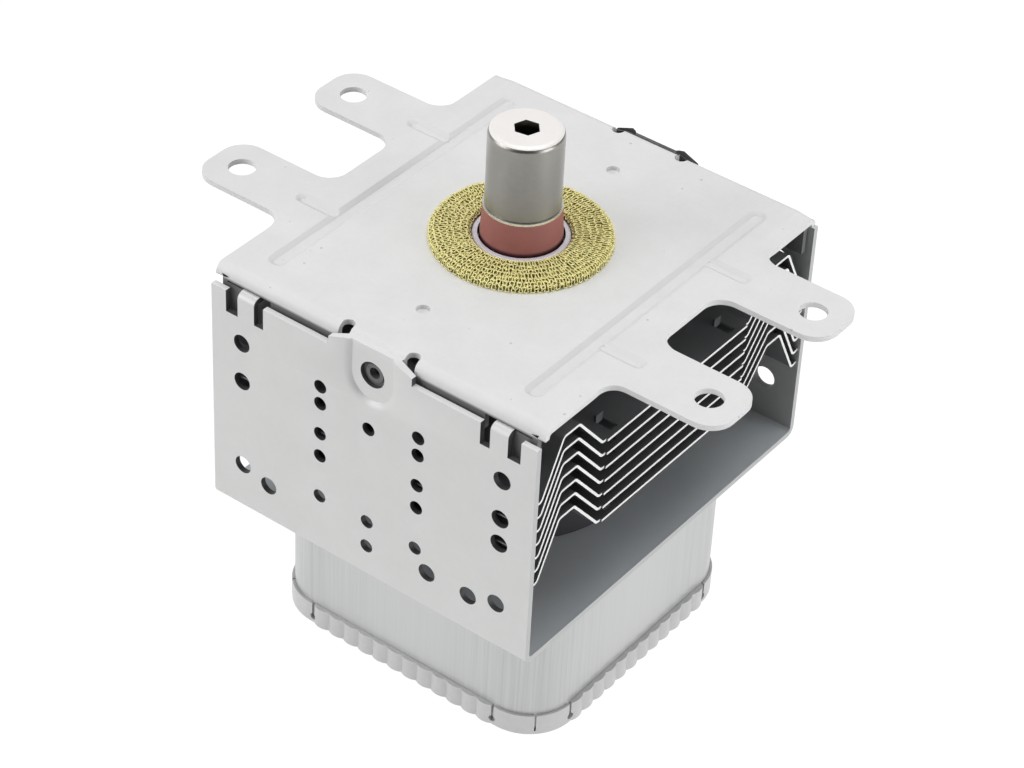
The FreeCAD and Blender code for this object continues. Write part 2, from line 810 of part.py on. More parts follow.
def mounting_plate():
    """The top plate: ears, ribs, turned-down flanges and clinched centre tabs."""
    holder = body("plate_body")
    side = PLATE_SIDE
    lobe_start = TONGUE_OUTER + S.slide_gap
    flat = sketch_on(holder, "plate_flat", "XY_Plane")
    draw(flat, corner_nodes(plate_outline()))
    pad(holder, flat, S.plate_sheet, "One side", True)
    skirt = sketch_on(holder, "plate_flanges", "XY_Plane")
    lobes = sketch_on(holder, "plate_lobes", "XY_Plane")
    for k in (1, -1):
        low, high = sorted((FLANGE_FACE * k, (FLANGE_FACE - S.plate_sheet) * k), key=lambda q: q.value)
        rectangle(skirt, (-side, side), (low, high))
        rectangle(lobes, (lobe_start, side), (low, high))
        rectangle(lobes, (-side, -lobe_start), (low, high))
    pad(holder, skirt, S.flange_drop, "One side", True)
    last = pad(holder, lobes, S.lobe_drop, "One side", True)
    last = soften(holder, "plate_outer_bend", last, lambda e: runs_along(e, 0) and flat_at(e, 2, 0)
                  and near(abs(e.CenterOfMass.y), FLANGE_FACE.value), S.plate_bend)
    soften(holder, "plate_inner_bend", last, lambda e: runs_along(e, 0)
           and flat_at(e, 2, PLATE_UNDER.value)
           and near(abs(e.CenterOfMass.y), (FLANGE_FACE - S.plate_sheet).value),
           S.plate_bend - S.plate_sheet)

    # the centre tabs take the flange's place between two relief notches
    tab_half = S.notch_reach - S.notch_breadth / 2
    bay = sketch_on(holder, "plate_tab_bay", "XY_Plane")
    start = NOTCH_FLOOR
    for k in (1, -1):
        low, high = sorted((start * k, (FLANGE_FACE + 1) * k), key=lambda q: q.value)
        rectangle(bay, (-tab_half, tab_half), (low, high))
    pocket(holder, bay)
    tabs = sketch_on(holder, "plate_tabs", "YZ_Plane")
    outer, inner = TAB_FACE, TAB_FACE - S.plate_sheet
    r, q = S.tab_bend, S.tab_bend - S.plate_sheet
    hem = -S.clinch_drop - S.tab_cover
    for k in (1, -1):
        draw(tabs, [
            (start * k, PLATE_UNDER),
            ((inner - q) * k, PLATE_UNDER, ((inner - q) * k, PLATE_UNDER - q)), (inner * k, PLATE_UNDER - q),
            (inner * k, hem), (outer * k, hem),
            (outer * k, -r, ((outer - r) * k, -r)), ((outer - r) * k, size(0)), (start * k, size(0))])
    pad(holder, tabs, tab_half * 2, "Symmetric")

    # relief notches beside the tabs, corner reliefs and the windows for the yoke's tongues
    notches = sketch_on(holder, "plate_notches", "XY_Plane")
    half = S.notch_breadth / 2
    for kx in (1, -1):
        for ky in (1, -1):
            x = S.notch_reach * kx
            y = (NOTCH_FLOOR + half) * ky
            far = (FLANGE_FACE + 1) * ky
            draw(notches, [
                (x - half * ky, far), (x - half * ky, y, (x, y)), (x + half * ky, y), (x + half * ky, far)])
    pocket(holder, notches)
    openings = sketch_on(holder, "plate_flange_openings", "XZ_Plane")
    low = -S.lobe_drop - 1
    head = -S.tongue_drop + S.slide_gap
    corner_head = -S.plate_bend - S.slide_gap * 2
    window = TONGUE_INNER - S.tongue_slot_inner - S.air_gap
    slit = lobe_start + S.lobe_slit_run
    for k in (1, -1):
        a, b = sorted(((side - S.flange_corner_cut) * k, (side + 1) * k), key=lambda q: q.value)
        rectangle(openings, (a, b), (low, corner_head))
        draw(openings, [
            (window * k, low), (lobe_start * k, low), (lobe_start * k, head - S.air_gap),
            (slit * k, head - S.air_gap), (slit * k, head), (window * k, head)])
    pocket(holder, openings)

    holes = sketch_on(holder, "plate_holes", "XY_Plane")
    ring(holes, 0, 0, NECK_HOLE)
    for ky in (1, -1):
        for kx in (1, -1):
            ring(holes, S.ear_pitch / 2 * kx, S.ear_spacing / 2 * ky, S.ear_bore / 2)
    pocket(holder, holes)
    pips = sketch_on(holder, "plate_pips", "XY_Plane")
    for ky in (1, -1):
        ring(pips, 0, S.pip_reach * ky, S.pip_bore / 2)
    pocket(holder, pips, S.pip_depth)

    # the tabs' collars, spread outwards in the yoke's clinch holes
    for k, end in ((1, "front"), (-1, "rear")):
        collar = sketch_on(holder, "plate_collar_" + end, "XZ_Plane", TAB_FACE * k)
        ring(collar, 0, -S.clinch_drop, S.clinch_hole / 2 - S.clinch_gap)
        pad(holder, collar, S.clinch_rise, "One side", k == -1)
    bores = sketch_on(holder, "plate_collar_bores", "XZ_Plane")
    ring(bores, 0, -S.clinch_drop, S.clinch_bore / 2)
    pocket(holder, bores)

    # stiffening ribs: one along each side, and one out along each ear
    half, reach, line = S.rib_breadth / 2, FLANGE_FACE - S.rib_end_margin, PLATE_SIDE - S.rib_margin
    press_ribs(holder, "plate_rib", [((line - half, line + half), (-reach, reach))])
    half, middle = S.ear_rib_breadth / 2, S.ear_spacing / 2
    press_ribs(holder, "plate_ear_rib", [
        ((line, line + S.ear_rib_run), (middle - half, middle + half)),
        ((line, line + S.ear_rib_run), (-middle - half, -middle + half))])
    publish("mounting_plate", holder)


def press_ribs(holder, name, ribs):
    """Press ribs down, each given by its limits in x and y and mirrored: a groove above, its form below."""
    below = sketch_on(holder, name + "_below", "XY_Plane", PLATE_UNDER)
    above = sketch_on(holder, name + "_above", "XY_Plane")
    for sketch in (below, above):
        for (x1, x2), (y1, y2) in ribs:
            narrow = min((x2 - x1, y2 - y1), key=lambda q: q.value)
            r = narrow * 0.45
            for k in (1, -1):
                a, b = sorted((x1 * k, x2 * k), key=lambda q: q.value)
                draw(sketch, corner_nodes([(a, y1, r), (b, y1, r), (b, y2, r), (a, y2, r)]))
    for feature in (pad(holder, below, S.rib_depth, "One side", True), pocket(holder, above, S.rib_depth)):
        bind(feature, "TaperAngle", -S.rib_slope)


# Antenna stack.

def rf_gasket():
    """The knitted wire ring, as a soft-cornered ring."""
    bore = NECK_RADIUS + S.fit_gap
    outer, top, r = S.gasket_radius, S.gasket_height, S.gasket_round
    publish("rf_gasket", turned("gasket", [
        (bore, size(0)), (outer - r * 0.5, size(0), (outer - r * 0.5, r * 0.5)), (outer, r * 0.5),
        (outer, top - r, (outer - r, top - r)), (outer - r, top), (bore, top)]))


def seal_cups():
    """The two flanged sleeves that close the tube, one through each magnet."""
    seat_radius = S.anode_radius
    inner, outer, top = NECK_INNER, NECK_RADIUS, S.neck_rise
    publish("upper_seal_cup", turned("upper_cup", [
        (inner, ANODE_TOP), (seat_radius, ANODE_TOP), (seat_radius, UPPER_MAGNET_BASE),
        (outer, UPPER_MAGNET_BASE), (outer, top - S.neck_wall, (inner, top - S.neck_wall)),
        (inner, top), (NECK_LIP, top), (NECK_LIP, top - S.neck_wall), (inner, top - S.neck_wall)]))
    publish("lower_seal_cup", turned("lower_cup", [
        (inner, ANODE_BASE), (inner, STEM_FOOT), (outer, STEM_FOOT),
        (outer, LOWER_MAGNET_TOP), (seat_radius, LOWER_MAGNET_TOP), (seat_radius, ANODE_BASE)]))


def antenna():
    """Ceramic, brim, exhaust tube, lead and cap."""
    foot = -S.ceramic_foot_drop
    publish("antenna_ceramic", turned("ceramic_ring", [
        (CERAMIC_BORE, foot), (CERAMIC_FOOT, foot), (CERAMIC_FOOT, S.neck_rise),
        (CERAMIC_HEAD, S.ceramic_top), (CERAMIC_BORE, S.ceramic_top)]))
    publish("antenna_seal_ring", turned("seal_ring", [
        (CERAMIC_BORE, foot - S.neck_wall), (NECK_INNER, foot - S.neck_wall),
        (NECK_INNER, foot), (CERAMIC_BORE, foot)]))
    wall = S.exhaust_wall
    publish("exhaust_tube", turned("exhaust", [
        (S.exhaust_radius - wall, S.ceramic_top), (BRIM_RADIUS, S.ceramic_top), (BRIM_RADIUS, BRIM_TOP),
        (S.exhaust_radius, BRIM_TOP), (S.exhaust_radius, S.exhaust_top - wall * 2),
        (wall, S.exhaust_top), (size(0), S.exhaust_top), (size(0), S.exhaust_top - wall * 2),
        (S.exhaust_radius - wall, S.exhaust_top - wall * 3)]))
    r, wall, top = S.cap_round, S.cap_wall, S.cap_top
    shell = turned("cap_shell", [
        (size(0), top), (size(0), top - wall), (S.cap_radius - r, top - wall, (S.cap_radius - r, top - r)),
        (S.cap_radius - wall, top - r), (S.cap_radius - wall, BRIM_TOP), (S.cap_radius, BRIM_TOP),
        (S.cap_radius, top - r, (S.cap_radius - r, top - r)), (S.cap_radius - r, top)])
    hexagon = doc.addObject("Part::Prism", "cap_hexagon")
    hexagon.Polygon = 6
    bind(hexagon, "Circumradius", S.cap_hex_radius)
    bind(hexagon, "Height", S.cap_wall + 2)
    hexagon.Placement = FreeCAD.Placement(V(0, 0, 0), FreeCAD.Rotation(V(0, 0, 1), S.cap_hex_turn.value))
    bind(hexagon, "Placement.Base.z", top - wall - 1)
    publish("antenna_cap", cut("cap", shell, [hexagon]))

    # lead: up from the vanes beside the pole bore, across inside the sleeve, up the axis
    radius, reach = S.antenna_lead_radius, LEAD_REACH
    vane_top = ANODE_MIDDLE + S.vane_height / 2
    knee = UPPER_MAGNET_BASE + S.magnet_height * 0.4
    neck = size(1)
    drop = neck - knee
    upright = rod("lead_lower", radius, (vane_top, knee), reach)
    riser = rod("lead_upper", radius, (neck, S.exhaust_top - S.exhaust_wall * 3 - S.air_gap))
    slant = doc.addObject("Part::Cylinder", "lead_slant")
    bind(slant, "Radius", radius)
    bind(slant, "Height", root(reach * reach + drop * drop))
    lean = math.degrees(math.atan2(reach.value, drop.value))
    seat(slant, reach, 0, knee, (V(0, 1, 0), -lean))
    knots = []
    for name, x, z in (("lead_knee", reach, knee), ("lead_neck", size(0), neck)):
        ball = doc.addObject("Part::Sphere", name)
        bind(ball, "Radius", radius)
        knots.append(seat(ball, x, 0, z))
    publish("antenna_lead", fuse("lead_rod", [upright, slant, riser] + knots))


# Magnets and the tube's inside.

def magnets():
    """Two ferrite rings with broken edges."""
    for label, low in (("upper_magnet", UPPER_MAGNET_BASE), ("lower_magnet", YOKE_FLOOR)):
        high = low + S.magnet_height
        outer, bore, e = S.magnet_radius, MAGNET_BORE, S.magnet_edge
        publish(label, turned(label + "_ring", [
            (bore, low), (outer - e, low), (outer, low + e), (outer, high - e), (outer - e, high),
            (bore, high)]))


def anode():
    """The copper block: cylinder with its ring of vanes, strapped above and below."""
    shell = turned("anode_shell", [
        (ANODE_BORE, ANODE_BASE), (S.anode_radius, ANODE_BASE), (S.anode_radius, ANODE_TOP),
        (ANODE_BORE, ANODE_TOP)])
    low = ANODE_MIDDLE - S.vane_height / 2
    high = ANODE_MIDDLE + S.vane_height / 2
    blades = [shell]
    for i in range(VANE_COUNT):
        angle = 360.0 * i / VANE_COUNT
        blade = doc.addObject("Part::Box", "vane_%d" % i)
        bind(blade, "Length", ANODE_BORE + S.anode_wall / 2 - S.vane_tip)
        bind(blade, "Width", S.vane_sheet)
        bind(blade, "Height", S.vane_height)
        cosine, sine = math.cos(math.radians(angle)), math.sin(math.radians(angle))
        blade.Placement = FreeCAD.Placement(V(0, 0, 0), FreeCAD.Rotation(V(0, 0, 1), angle))
        bind(blade, "Placement.Base.x", S.vane_tip * cosine + S.vane_sheet / 2 * sine)
        bind(blade, "Placement.Base.y", S.vane_tip * sine - S.vane_sheet / 2 * cosine)
        bind(blade, "Placement.Base.z", low)
        blades.append(blade)
    publish("anode_block", fuse("anode_body", blades))
    # the straps stay clear of the antenna lead, which leaves its vane further out
    outer = LEAD_REACH - S.antenna_lead_radius - S.air_gap
    inner = outer - S.strap_width
    for label, base in (("upper_strap_ring", high), ("lower_strap_ring", low - S.strap_height)):
        top = base + S.strap_height
        publish(label, turned(label + "_band", [(inner, base), (outer, base), (outer, top), (inner, top)]))


def pole_pieces():
    """Dished iron discs inside the ends of the anode."""
    outer, sheet_t = ANODE_BORE - S.fit_gap, S.pole_sheet
    for label, face, k in (("upper_pole_piece", ANODE_TOP, -1), ("lower_pole_piece", ANODE_BASE, 1)):
        inside = face + sheet_t * k
        nose = face + S.pole_reach * k
        disc = turned(label + "_disc", [
            (S.pole_bore, face + sheet_t * 1.5 * k), (S.pole_boss + sheet_t * 2, face), (outer, face),
            (outer, inside), (S.pole_boss + sheet_t * 2, inside), (S.pole_boss, nose), (S.pole_bore, nose)])
        if k == -1:
            pass_hole = rod(label + "_pass", S.antenna_lead_radius + S.air_gap,
                            (ANODE_TOP - S.pole_reach - 1, ANODE_TOP + 1), LEAD_REACH)
            disc = cut(label + "_pierced", disc, [pass_hole])
        publish(label, disc)


def cathode():
    """Filament coil between two hats on its two leads."""
    half = S.vane_height / 2
    top, low = ANODE_MIDDLE + half, ANODE_MIDDLE - half
    # the closely wound coil, as a sleeve with one ridge to a turn
    core, crest, foot = S.coil_radius - S.coil_wire / 2, S.coil_radius + S.coil_wire / 2, low + S.fit_gap * 2
    rise = (S.vane_height - S.fit_gap * 4) / COIL_TURNS
    ridges = [(core, foot)]
    for turn in range(COIL_TURNS):
        ridges.append((S.coil_radius, foot + rise * turn))
        ridges.append((crest, foot + rise * (turn + 0.5)))
    ridges += [(S.coil_radius, top - S.fit_gap * 2), (core, top - S.fit_gap * 2)]
    publish("cathode_filament", turned("filament_coil", ridges))
    hole = S.lead_radius + S.fit_gap
    publish("upper_end_hat", turned("upper_hat", [
        (hole, top - S.fit_gap * 2), (S.coil_radius + S.coil_wire, top - S.fit_gap * 2),
        (S.hat_radius, top + S.hat_sheet * 0.5), (S.hat_radius, top + S.hat_sheet), (hole, top + S.hat_sheet)]))
    hat = turned("lower_hat", [
        (hole + S.air_gap, low + S.fit_gap * 2), (S.coil_radius + S.coil_wire, low + S.fit_gap * 2),
        (S.hat_radius, low - S.hat_sheet * 0.5), (S.hat_radius, low - S.hat_sheet),
        (hole + S.air_gap, low - S.hat_sheet)])
    publish("lower_end_hat", hat)
    publish("centre_lead", rod("centre_rod", S.lead_radius, (TERMINAL_BASE, top + S.hat_sheet)))
    publish("side_lead", rod("side_rod", S.lead_radius, (TERMINAL_BASE, low - S.hat_sheet),
                             SIDE_LEAD_REACH))


# Fins.

def fin_profile():
    """Section of a fin from wall to wall: its middle line thickened to both sides."""
    half = [
        (FIN_FOOT, size(0)), (FIN_PEAK, S.fin_peak_rise), (FIN_BROW, S.fin_peak_rise),
        (FIN_HEEL, -S.fin_heel_drop), (FIN_TIP, -S.fin_heel_drop + S.fin_tip_rise)]
    path = [(-y, z) for y, z in reversed(half)] + half
    line = free_sketch("fin_line", UPRIGHT_YZ)
    draw(line, bend_nodes(path, S.fin_bend), False)
    section = doc.addObject("Part::Offset2D", "fin_section")
    section.Source = line
    section.Mode = "Pipe"
    section.Join = "Arc"
    section.Fill = True
    bind(section, "Value", S.fin_sheet / 2)
    return section


def cooling_fin(index, section):
    """One fin: folded strip, anode hole, and four lanced flaps that stand up from it."""
    name = "fin%s" % "abcdefg"[index]
    level = UPPER_MAGNET_BASE - S.fin_clear - S.fin_pitch * index
    strip = doc.addObject("Part::Extrusion", name + "_strip")
    strip.Base = section
    strip.DirMode = "Custom"
    strip.Dir = V(1, 0, 0)
    strip.Solid = True
    strip.Symmetric = True
    bind(strip, "LengthFwd", FIN_SIDE * 2)
    seat(strip, 0, 0, level + S.fin_sheet / 2)
    tools = [rod(name + "_hole", S.anode_radius + S.fit_gap, (level - 1, level + 1))]
    edge = FIN_SIDE - S.fin_hat_inset
    shoulder = FIN_FOOT - S.fin_bend
    outer_end = FIN_SIDE - S.lance_margin
    inner_end = outer_end - S.lance_length
    flaps = []
    for kx in (1, -1):
        for ky in (1, -1):
            tag = "_%d%d" % (kx + 1, ky + 1)
            xs = sorted((edge * kx, (FIN_SIDE + 1) * kx), key=lambda q: q.value)
            ys = sorted((shoulder * ky, YOKE_WALL * ky), key=lambda q: q.value)
            tools.append(box(name + "_trim" + tag, xs, ys,
                             (level - S.fin_heel_drop - 2, level + S.fin_peak_rise + 2)))
            y = (FIN_FOOT - S.lance_inset) * ky
            ys = (y - S.lance_breadth / 2, y + S.lance_breadth / 2)
            xs = sorted((inner_end * kx, outer_end * kx), key=lambda q: q.value)
            tools.append(box(name + "_lance" + tag, xs, ys, (level - 1, level + 1)))
            xs = sorted((inner_end * kx, (inner_end - S.fin_sheet) * kx), key=lambda q: q.value)
            flaps.append(box(name + "_flap" + tag, xs, ys, (level, level + S.fin_sheet + S.lance_rise)))
    solid = fuse(name + "_solid", [cut(name + "_cut", strip, tools)] + flaps)
    publish("cooling_fin_%d" % (index + 1), solid)


# Filter box.

def connector_window():
    """Limits of the opening in the box's rear wall."""
    half = S.bay_width / 2 + S.fit_gap
    rise = S.bay_height / 2 + S.fit_gap
    return (-half, half), (BAY_LEVEL - rise, BAY_LEVEL + rise)


def filter_box():
    """The drawn can, open below, with a throat for the stem and a window for the connector."""
    half_x, half_y, wall = S.box_width / 2, S.box_depth / 2, S.box_sheet
    outer = rounded_block("can_outer", half_x, half_y, S.box_corner, BOX_BASE, BOX_TOP)
    outer = round_edges("can_outer_round", outer, lambda e: flat_at(e, 2, BOX_TOP.value), S.box_shoulder)
    inner = rounded_block("can_inner", half_x - wall, half_y - wall, S.box_corner - wall,
                          BOX_BASE - 1, BOX_TOP - wall)
    inner = round_edges("can_inner_round", inner, lambda e: flat_at(e, 2, (BOX_TOP - wall).value),
                        S.box_shoulder - wall)
    xs, zs = connector_window()
    tools = [inner, rod("can_throat", NECK_HOLE, (BOX_TOP - 3, BOX_TOP + 1)),
             box("can_window", xs, (half_y - wall - 1, half_y + 1), zs)]
    for k in (1, -1):
        tools.append(cross_rod("can_rivet_%d" % (k + 1), S.rivet_radius + S.fit_gap,
                               (half_y - wall - 1, half_y + 1), RIVET_REACH * k, BAY_LEVEL))
    publish("filter_box", cut("can", outer, tools))


def filter_box_lid():
    """The lid: its skirt is slit into flaps, the straight ones fluted by the crimping."""
    gap, wall = S.fit_gap, S.lid_skirt_wall
    inner_x, inner_y, inner_r = S.box_width / 2 + gap, S.box_depth / 2 + gap, S.box_corner + gap
    top = LID_BASE + S.lid_skirt
    pan = rounded_block("lid_pan", inner_x + wall, inner_y + wall, inner_r + wall, LID_BASE, top)
    well = rounded_block("lid_well", inner_x, inner_y, inner_r, BOX_BASE, top + 1)
    rise = S.flute_rise
    half_x = S.box_width / 2 - S.box_corner - S.flute_front_margin
    half_y = S.box_depth / 2 - S.box_corner
    rows = []
    for side, face, half, k in (("front", inner_y, half_x, -1), ("rear", inner_y, half_x, 1),
                                ("right", inner_x, half_y, 1), ("left", inner_x, half_y, -1)):
        along_x = side in ("front", "rear")
        pitch = half * 2 / FLUTE_COUNT
        radius = (pitch * pitch / 4 + rise * rise) / (rise * 2)
        crest = face + wall + rise
        flutes = []
        for i in range(FLUTE_COUNT):
            station = pitch * (i + 0.5) - half
            across = (crest - radius) * k
            x, y = (station, across) if along_x else (across, station)
            flutes.append(rod("flute_%s_%d" % (side, i), radius, (LID_BASE, top), x, y))
        band = sorted(((face + wall / 2) * k, (crest + 1) * k), key=lambda q: q.value)
        xs, ys = ((-half, half), band) if along_x else (band, (-half, half))
        keep = box("flute_band_" + side, xs, ys, (LID_BASE, top))
        rows.append(common("flutes_" + side, fuse("flute_row_" + side, flutes), keep))
    rim = fuse("lid_rim", [pan] + rows)
    tools = [well]
    slit, relief = S.slit_breadth / 2, S.slit_relief / 2
    deep = S.box_corner * 0.2 + 2
    for kx in (1, -1):
        for ky in (1, -1):
            tag = "_%d%d" % (kx + 1, ky + 1)
            x, y = (half_x + slit) * kx, (half_y + slit) * ky
            ys = sorted(((inner_y - deep) * ky, (inner_y + deep) * ky), key=lambda q: q.value)
            tools.append(box("slit_y" + tag, (x - slit, x + slit), ys, (BOX_BASE, top + 1)))
            tools.append(cross_rod("relief_y" + tag, relief, ys, x, BOX_BASE + relief))
            xs = sorted(((inner_x - deep) * kx, (inner_x + deep) * kx), key=lambda q: q.value)
            tools.append(box("slit_x" + tag, xs, (y - slit, y + slit), (BOX_BASE, top + 1)))
            drill = doc.addObject("Part::Cylinder", "relief_x" + tag)
            bind(drill, "Radius", relief)
            bind(drill, "Height", xs[1] - xs[0])
            tools.append(seat(drill, xs[0], y, BOX_BASE + relief, (V(0, 1, 0), 90)))
            # the slit at the middle of each corner
            blade = doc.addObject("Part::Box", "slit_corner" + tag)
            bind(blade, "Length", S.box_corner + deep)
            bind(blade, "Width", S.corner_slit)
            bind(blade, "Height", S.lid_skirt + 1)
            angle = math.degrees(math.atan2(ky, kx))
            blade.Placement = FreeCAD.Placement(V(0, 0, 0), FreeCAD.Rotation(V(0, 0, 1), angle))
            corner_x, corner_y = (inner_x - inner_r) * kx, (inner_y - inner_r) * ky
            shift = S.corner_slit / 2 * math.sqrt(0.5)
            bind(blade, "Placement.Base.x", corner_x + shift * ky)
            bind(blade, "Placement.Base.y", corner_y - shift * kx)
            bind(blade, "Placement.Base.z", BOX_BASE)
            tools.append(blade)
    publish("filter_box_lid", cut("lid", rim, tools))


def stem():
    """The stem ceramic in the lower sleeve with its two lead terminals."""
    head = STEM_FOOT + S.stem_height
    disc = rod("stem_disc", NECK_INNER - S.fit_gap, (STEM_FOOT, head))
    bores = [rod("stem_bore_" + tag, S.lead_radius + S.fit_gap, (STEM_FOOT - 1, head + 1), x)
             for tag, x in (("centre", size(0)), ("side", SIDE_LEAD_REACH))]
    publish("stem_ceramic", cut("stem_pierced", disc, bores))
    end = CHOKE_REACH + choke_wire() + S.air_gap
    for label, x, k in (("filament_terminal_a", size(0), -1), ("filament_terminal_b", SIDE_LEAD_REACH, 1)):
        edge = SIDE_LEAD_REACH / 2 + S.air_gap / 2 * k
        xs = sorted((edge, end * k), key=lambda q: q.value)
        plate = box(label + "_plate", xs, (-S.terminal_radius, S.terminal_radius), (TERMINAL_BASE, STEM_FOOT))
        bore = rod(label + "_bore", S.lead_radius + S.fit_gap, (TERMINAL_BASE - 1, STEM_FOOT + 1), x)
        publish(label, cut(label + "_solid", plate, [bore]))


def choke_wire():
    """Radius of the wire that leaves a choke at either end."""
    return S.winding_wire * 0.4


def chokes():
    """Two wound chokes on ferrite cores, wired from the stem's terminals to the blades."""
    inner, wire = S.core_radius + S.fit_gap, choke_wire()
    # the riser at the winding's first turn stands under the middle of its terminal
    wound = (-wire * 2, S.winding_length - wire * 2)
    core_ends = (wound[0] - S.core_end, wound[1] + S.core_end)
    for label, k in (("a", -1), ("b", 1)):
        x, z = CHOKE_REACH * k, BAY_LEVEL
        publish("ferrite_core_" + label, cross_rod("core_" + label, S.core_radius, core_ends, x, z))
        outer = cross_rod("winding_outer_" + label, inner + S.winding_wire, wound, x, z)
        bore = cross_rod("winding_bore_" + label, inner, (core_ends[0] - 1, core_ends[1] + 1), x, z)
        sleeve = cut("winding_" + label, outer, [bore])
        top = z + inner + S.winding_wire / 2
        riser = rod("winding_riser_" + label, wire, (top, TERMINAL_BASE), x)
        tail = cross_rod("winding_tail_" + label, wire, (wound[1], blade_tail()), x, top)
        publish("choke_winding_" + label, fuse("winding_wired_" + label, [sleeve, riser, tail]))


# Connector.

def blade_tail():
    """Where a blade's inner end stands, clear of the moulded block."""
    return S.box_depth / 2 - S.bay_inner - 2


def connector():
    """Feed-through capacitor: flange, moulded socket block, two blades and two rivets."""
    face = S.box_depth / 2
    outer = face + S.bay_reach
    xs, zs = connector_window()
    gap = S.fit_gap
    x_in = (xs[0] + gap, xs[1] - gap)
    z_in = (zs[0] + gap, zs[1] - gap)
    block = box("bay_block", x_in, (face - S.bay_inner, outer), z_in)
    block = round_edges("bay_round", block, lambda e: runs_along(e, 1), S.bay_wall)
    wall, rib = S.bay_wall, S.bay_rib / 2
    floor = face + S.bay_floor
    sockets, blades, bores = [], [], []
    for label, k in (("a", -1), ("b", 1)):
        cell = sorted((rib * k, (S.bay_width / 2 - wall) * k), key=lambda q: q.value)
        sockets.append(box("bay_cell_" + label, cell, (floor, outer + 1), (z_in[0] + wall, z_in[1] - wall)))
        middle = CHOKE_REACH * k
        half, thick = S.blade_width / 2, S.blade_sheet / 2
        tip = floor + S.blade_reach
        zs_blade = (BAY_LEVEL - half, BAY_LEVEL + half)
        blades.append(("connector_blade_" + label,
                       box("blade_" + label, (middle - thick, middle + thick), (blade_tail(), tip), zs_blade)))
        bores.append(box("bay_slot_" + label, (middle - thick - gap, middle + thick + gap),
                         (blade_tail() - 1, floor + 1), (zs_blade[0] - gap, zs_blade[1] + gap)))
    publish("connector_block", cut("bay", block, sockets + bores))
    for label, blade in blades:
        publish(label, blade)
    sheet_y = (face, face + S.bay_flange_sheet)
    half_x, half_z = RIVET_REACH + S.rivet_edge, S.bay_height / 2 + S.bay_flange_rim
    flange = box("bay_flange", (-half_x, half_x), sheet_y, (BAY_LEVEL - half_z, BAY_LEVEL + half_z))
    flange = round_edges("bay_flange_round", flange, lambda e: runs_along(e, 1), S.bay_wall * 1.5)
    openings = [box("bay_flange_window", xs, (face - 1, face + S.bay_flange_sheet + 1), zs)]
    for k in (1, -1):
        openings.append(cross_rod("bay_flange_bore_%d" % (k + 1), S.rivet_radius + gap,
                                  (face - 1, face + S.bay_flange_sheet + 1), RIVET_REACH * k, BAY_LEVEL))
    publish("capacitor_flange", cut("bay_plate", flange, openings))
    for label, k in (("a", -1), ("b", 1)):
        x, z = RIVET_REACH * k, BAY_LEVEL
        out = face + S.bay_flange_sheet
        inside = face - S.box_sheet
        shank = cross_rod("rivet_shank_" + label, S.rivet_radius, (inside, out), x, z)
        head = cross_rod("rivet_head_" + label, S.rivet_head, (out, out + S.rivet_head_rise), x, z)
        tail = cross_rod("rivet_tail_" + label, S.rivet_head * 0.85, (inside - S.rivet_head_rise, inside), x, z)
        publish("flange_rivet_" + label, fuse("rivet_" + label, [shank, head, tail]))


def main():
    """Build every sub-part, check it and write it."""
    yoke()
    mounting_plate()
    rf_gasket()
    seal_cups()
    antenna()
    magnets()
    anode()
    pole_pieces()
    cathode()
    section = fin_profile()
    for index in range(FIN_COUNT):
        cooling_fin(index, section)
    filter_box()
    filter_box_lid()
    stem()
    chokes()
    connector()
    doc.recompute()

    for obj in doc.Objects:
        if "Invalid" in obj.State or "Error" in obj.State:
            raise RuntimeError("%s did not compute: %s" % (obj.Name, obj.State))
    for label, obj in SUBPARTS:
        if obj.Shape.isNull() or not obj.Shape.isValid() or obj.Shape.Volume <= 0:
            raise RuntimeError("%s has no valid solid" % label)
    os.makedirs("parts", exist_ok=True)
    for label, obj in SUBPARTS:
        obj.Shape.exportStep("parts/%s.step" % label)
        print("%-22s %2d solid(s) %10.1f mm3" % (label, len(obj.Shape.Solids), obj.Shape.Volume))


main()
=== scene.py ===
"""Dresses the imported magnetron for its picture: finishes, knitted gasket, fine trim, studio and camera.

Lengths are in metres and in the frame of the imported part: the origin lies on the antenna's axis at the
upper face of the mounting plate, +Z runs along the antenna and X along the mounting ears.
"""
from __future__ import annotations

import logging
import math
import random
from collections.abc import Callable
from dataclasses import dataclass, field
from enum import Enum

import bmesh
import bpy
from mathutils import Matrix, Vector


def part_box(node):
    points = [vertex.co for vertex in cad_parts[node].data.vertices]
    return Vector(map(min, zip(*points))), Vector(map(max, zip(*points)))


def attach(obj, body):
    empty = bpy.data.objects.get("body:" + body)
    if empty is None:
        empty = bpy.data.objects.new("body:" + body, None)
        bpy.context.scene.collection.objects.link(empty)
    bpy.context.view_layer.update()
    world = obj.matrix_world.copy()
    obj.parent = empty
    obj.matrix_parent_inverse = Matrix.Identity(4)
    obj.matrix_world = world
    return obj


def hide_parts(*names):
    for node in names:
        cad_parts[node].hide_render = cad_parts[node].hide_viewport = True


LOG = logging.getLogger("magnetron")
MM = 0.001

# Tests of a face by its centre and normal, and reshapings of a node's mesh.
FaceTest = Callable[[Vector, Vector], bool]
Reshape = Callable[[bmesh.types.BMesh], None]

# Points nearer than WELD are one, CUT is how near a plane has to pass to a point to keep it, and
# faces that meet flatter than FLAT degrees are merged.
WELD = 2e-6
CUT = 1e-6
FLAT = 0.5

# A pressed groove's edge lies between faces this level and turns by more than PRESSED_ANGLE degrees.
LEVEL = 0.85
PRESSED_ANGLE = 12.0

# How much lower than packed the yoke's floor stands, with what touches it.
FLOOR_DROP = 1.65 * MM

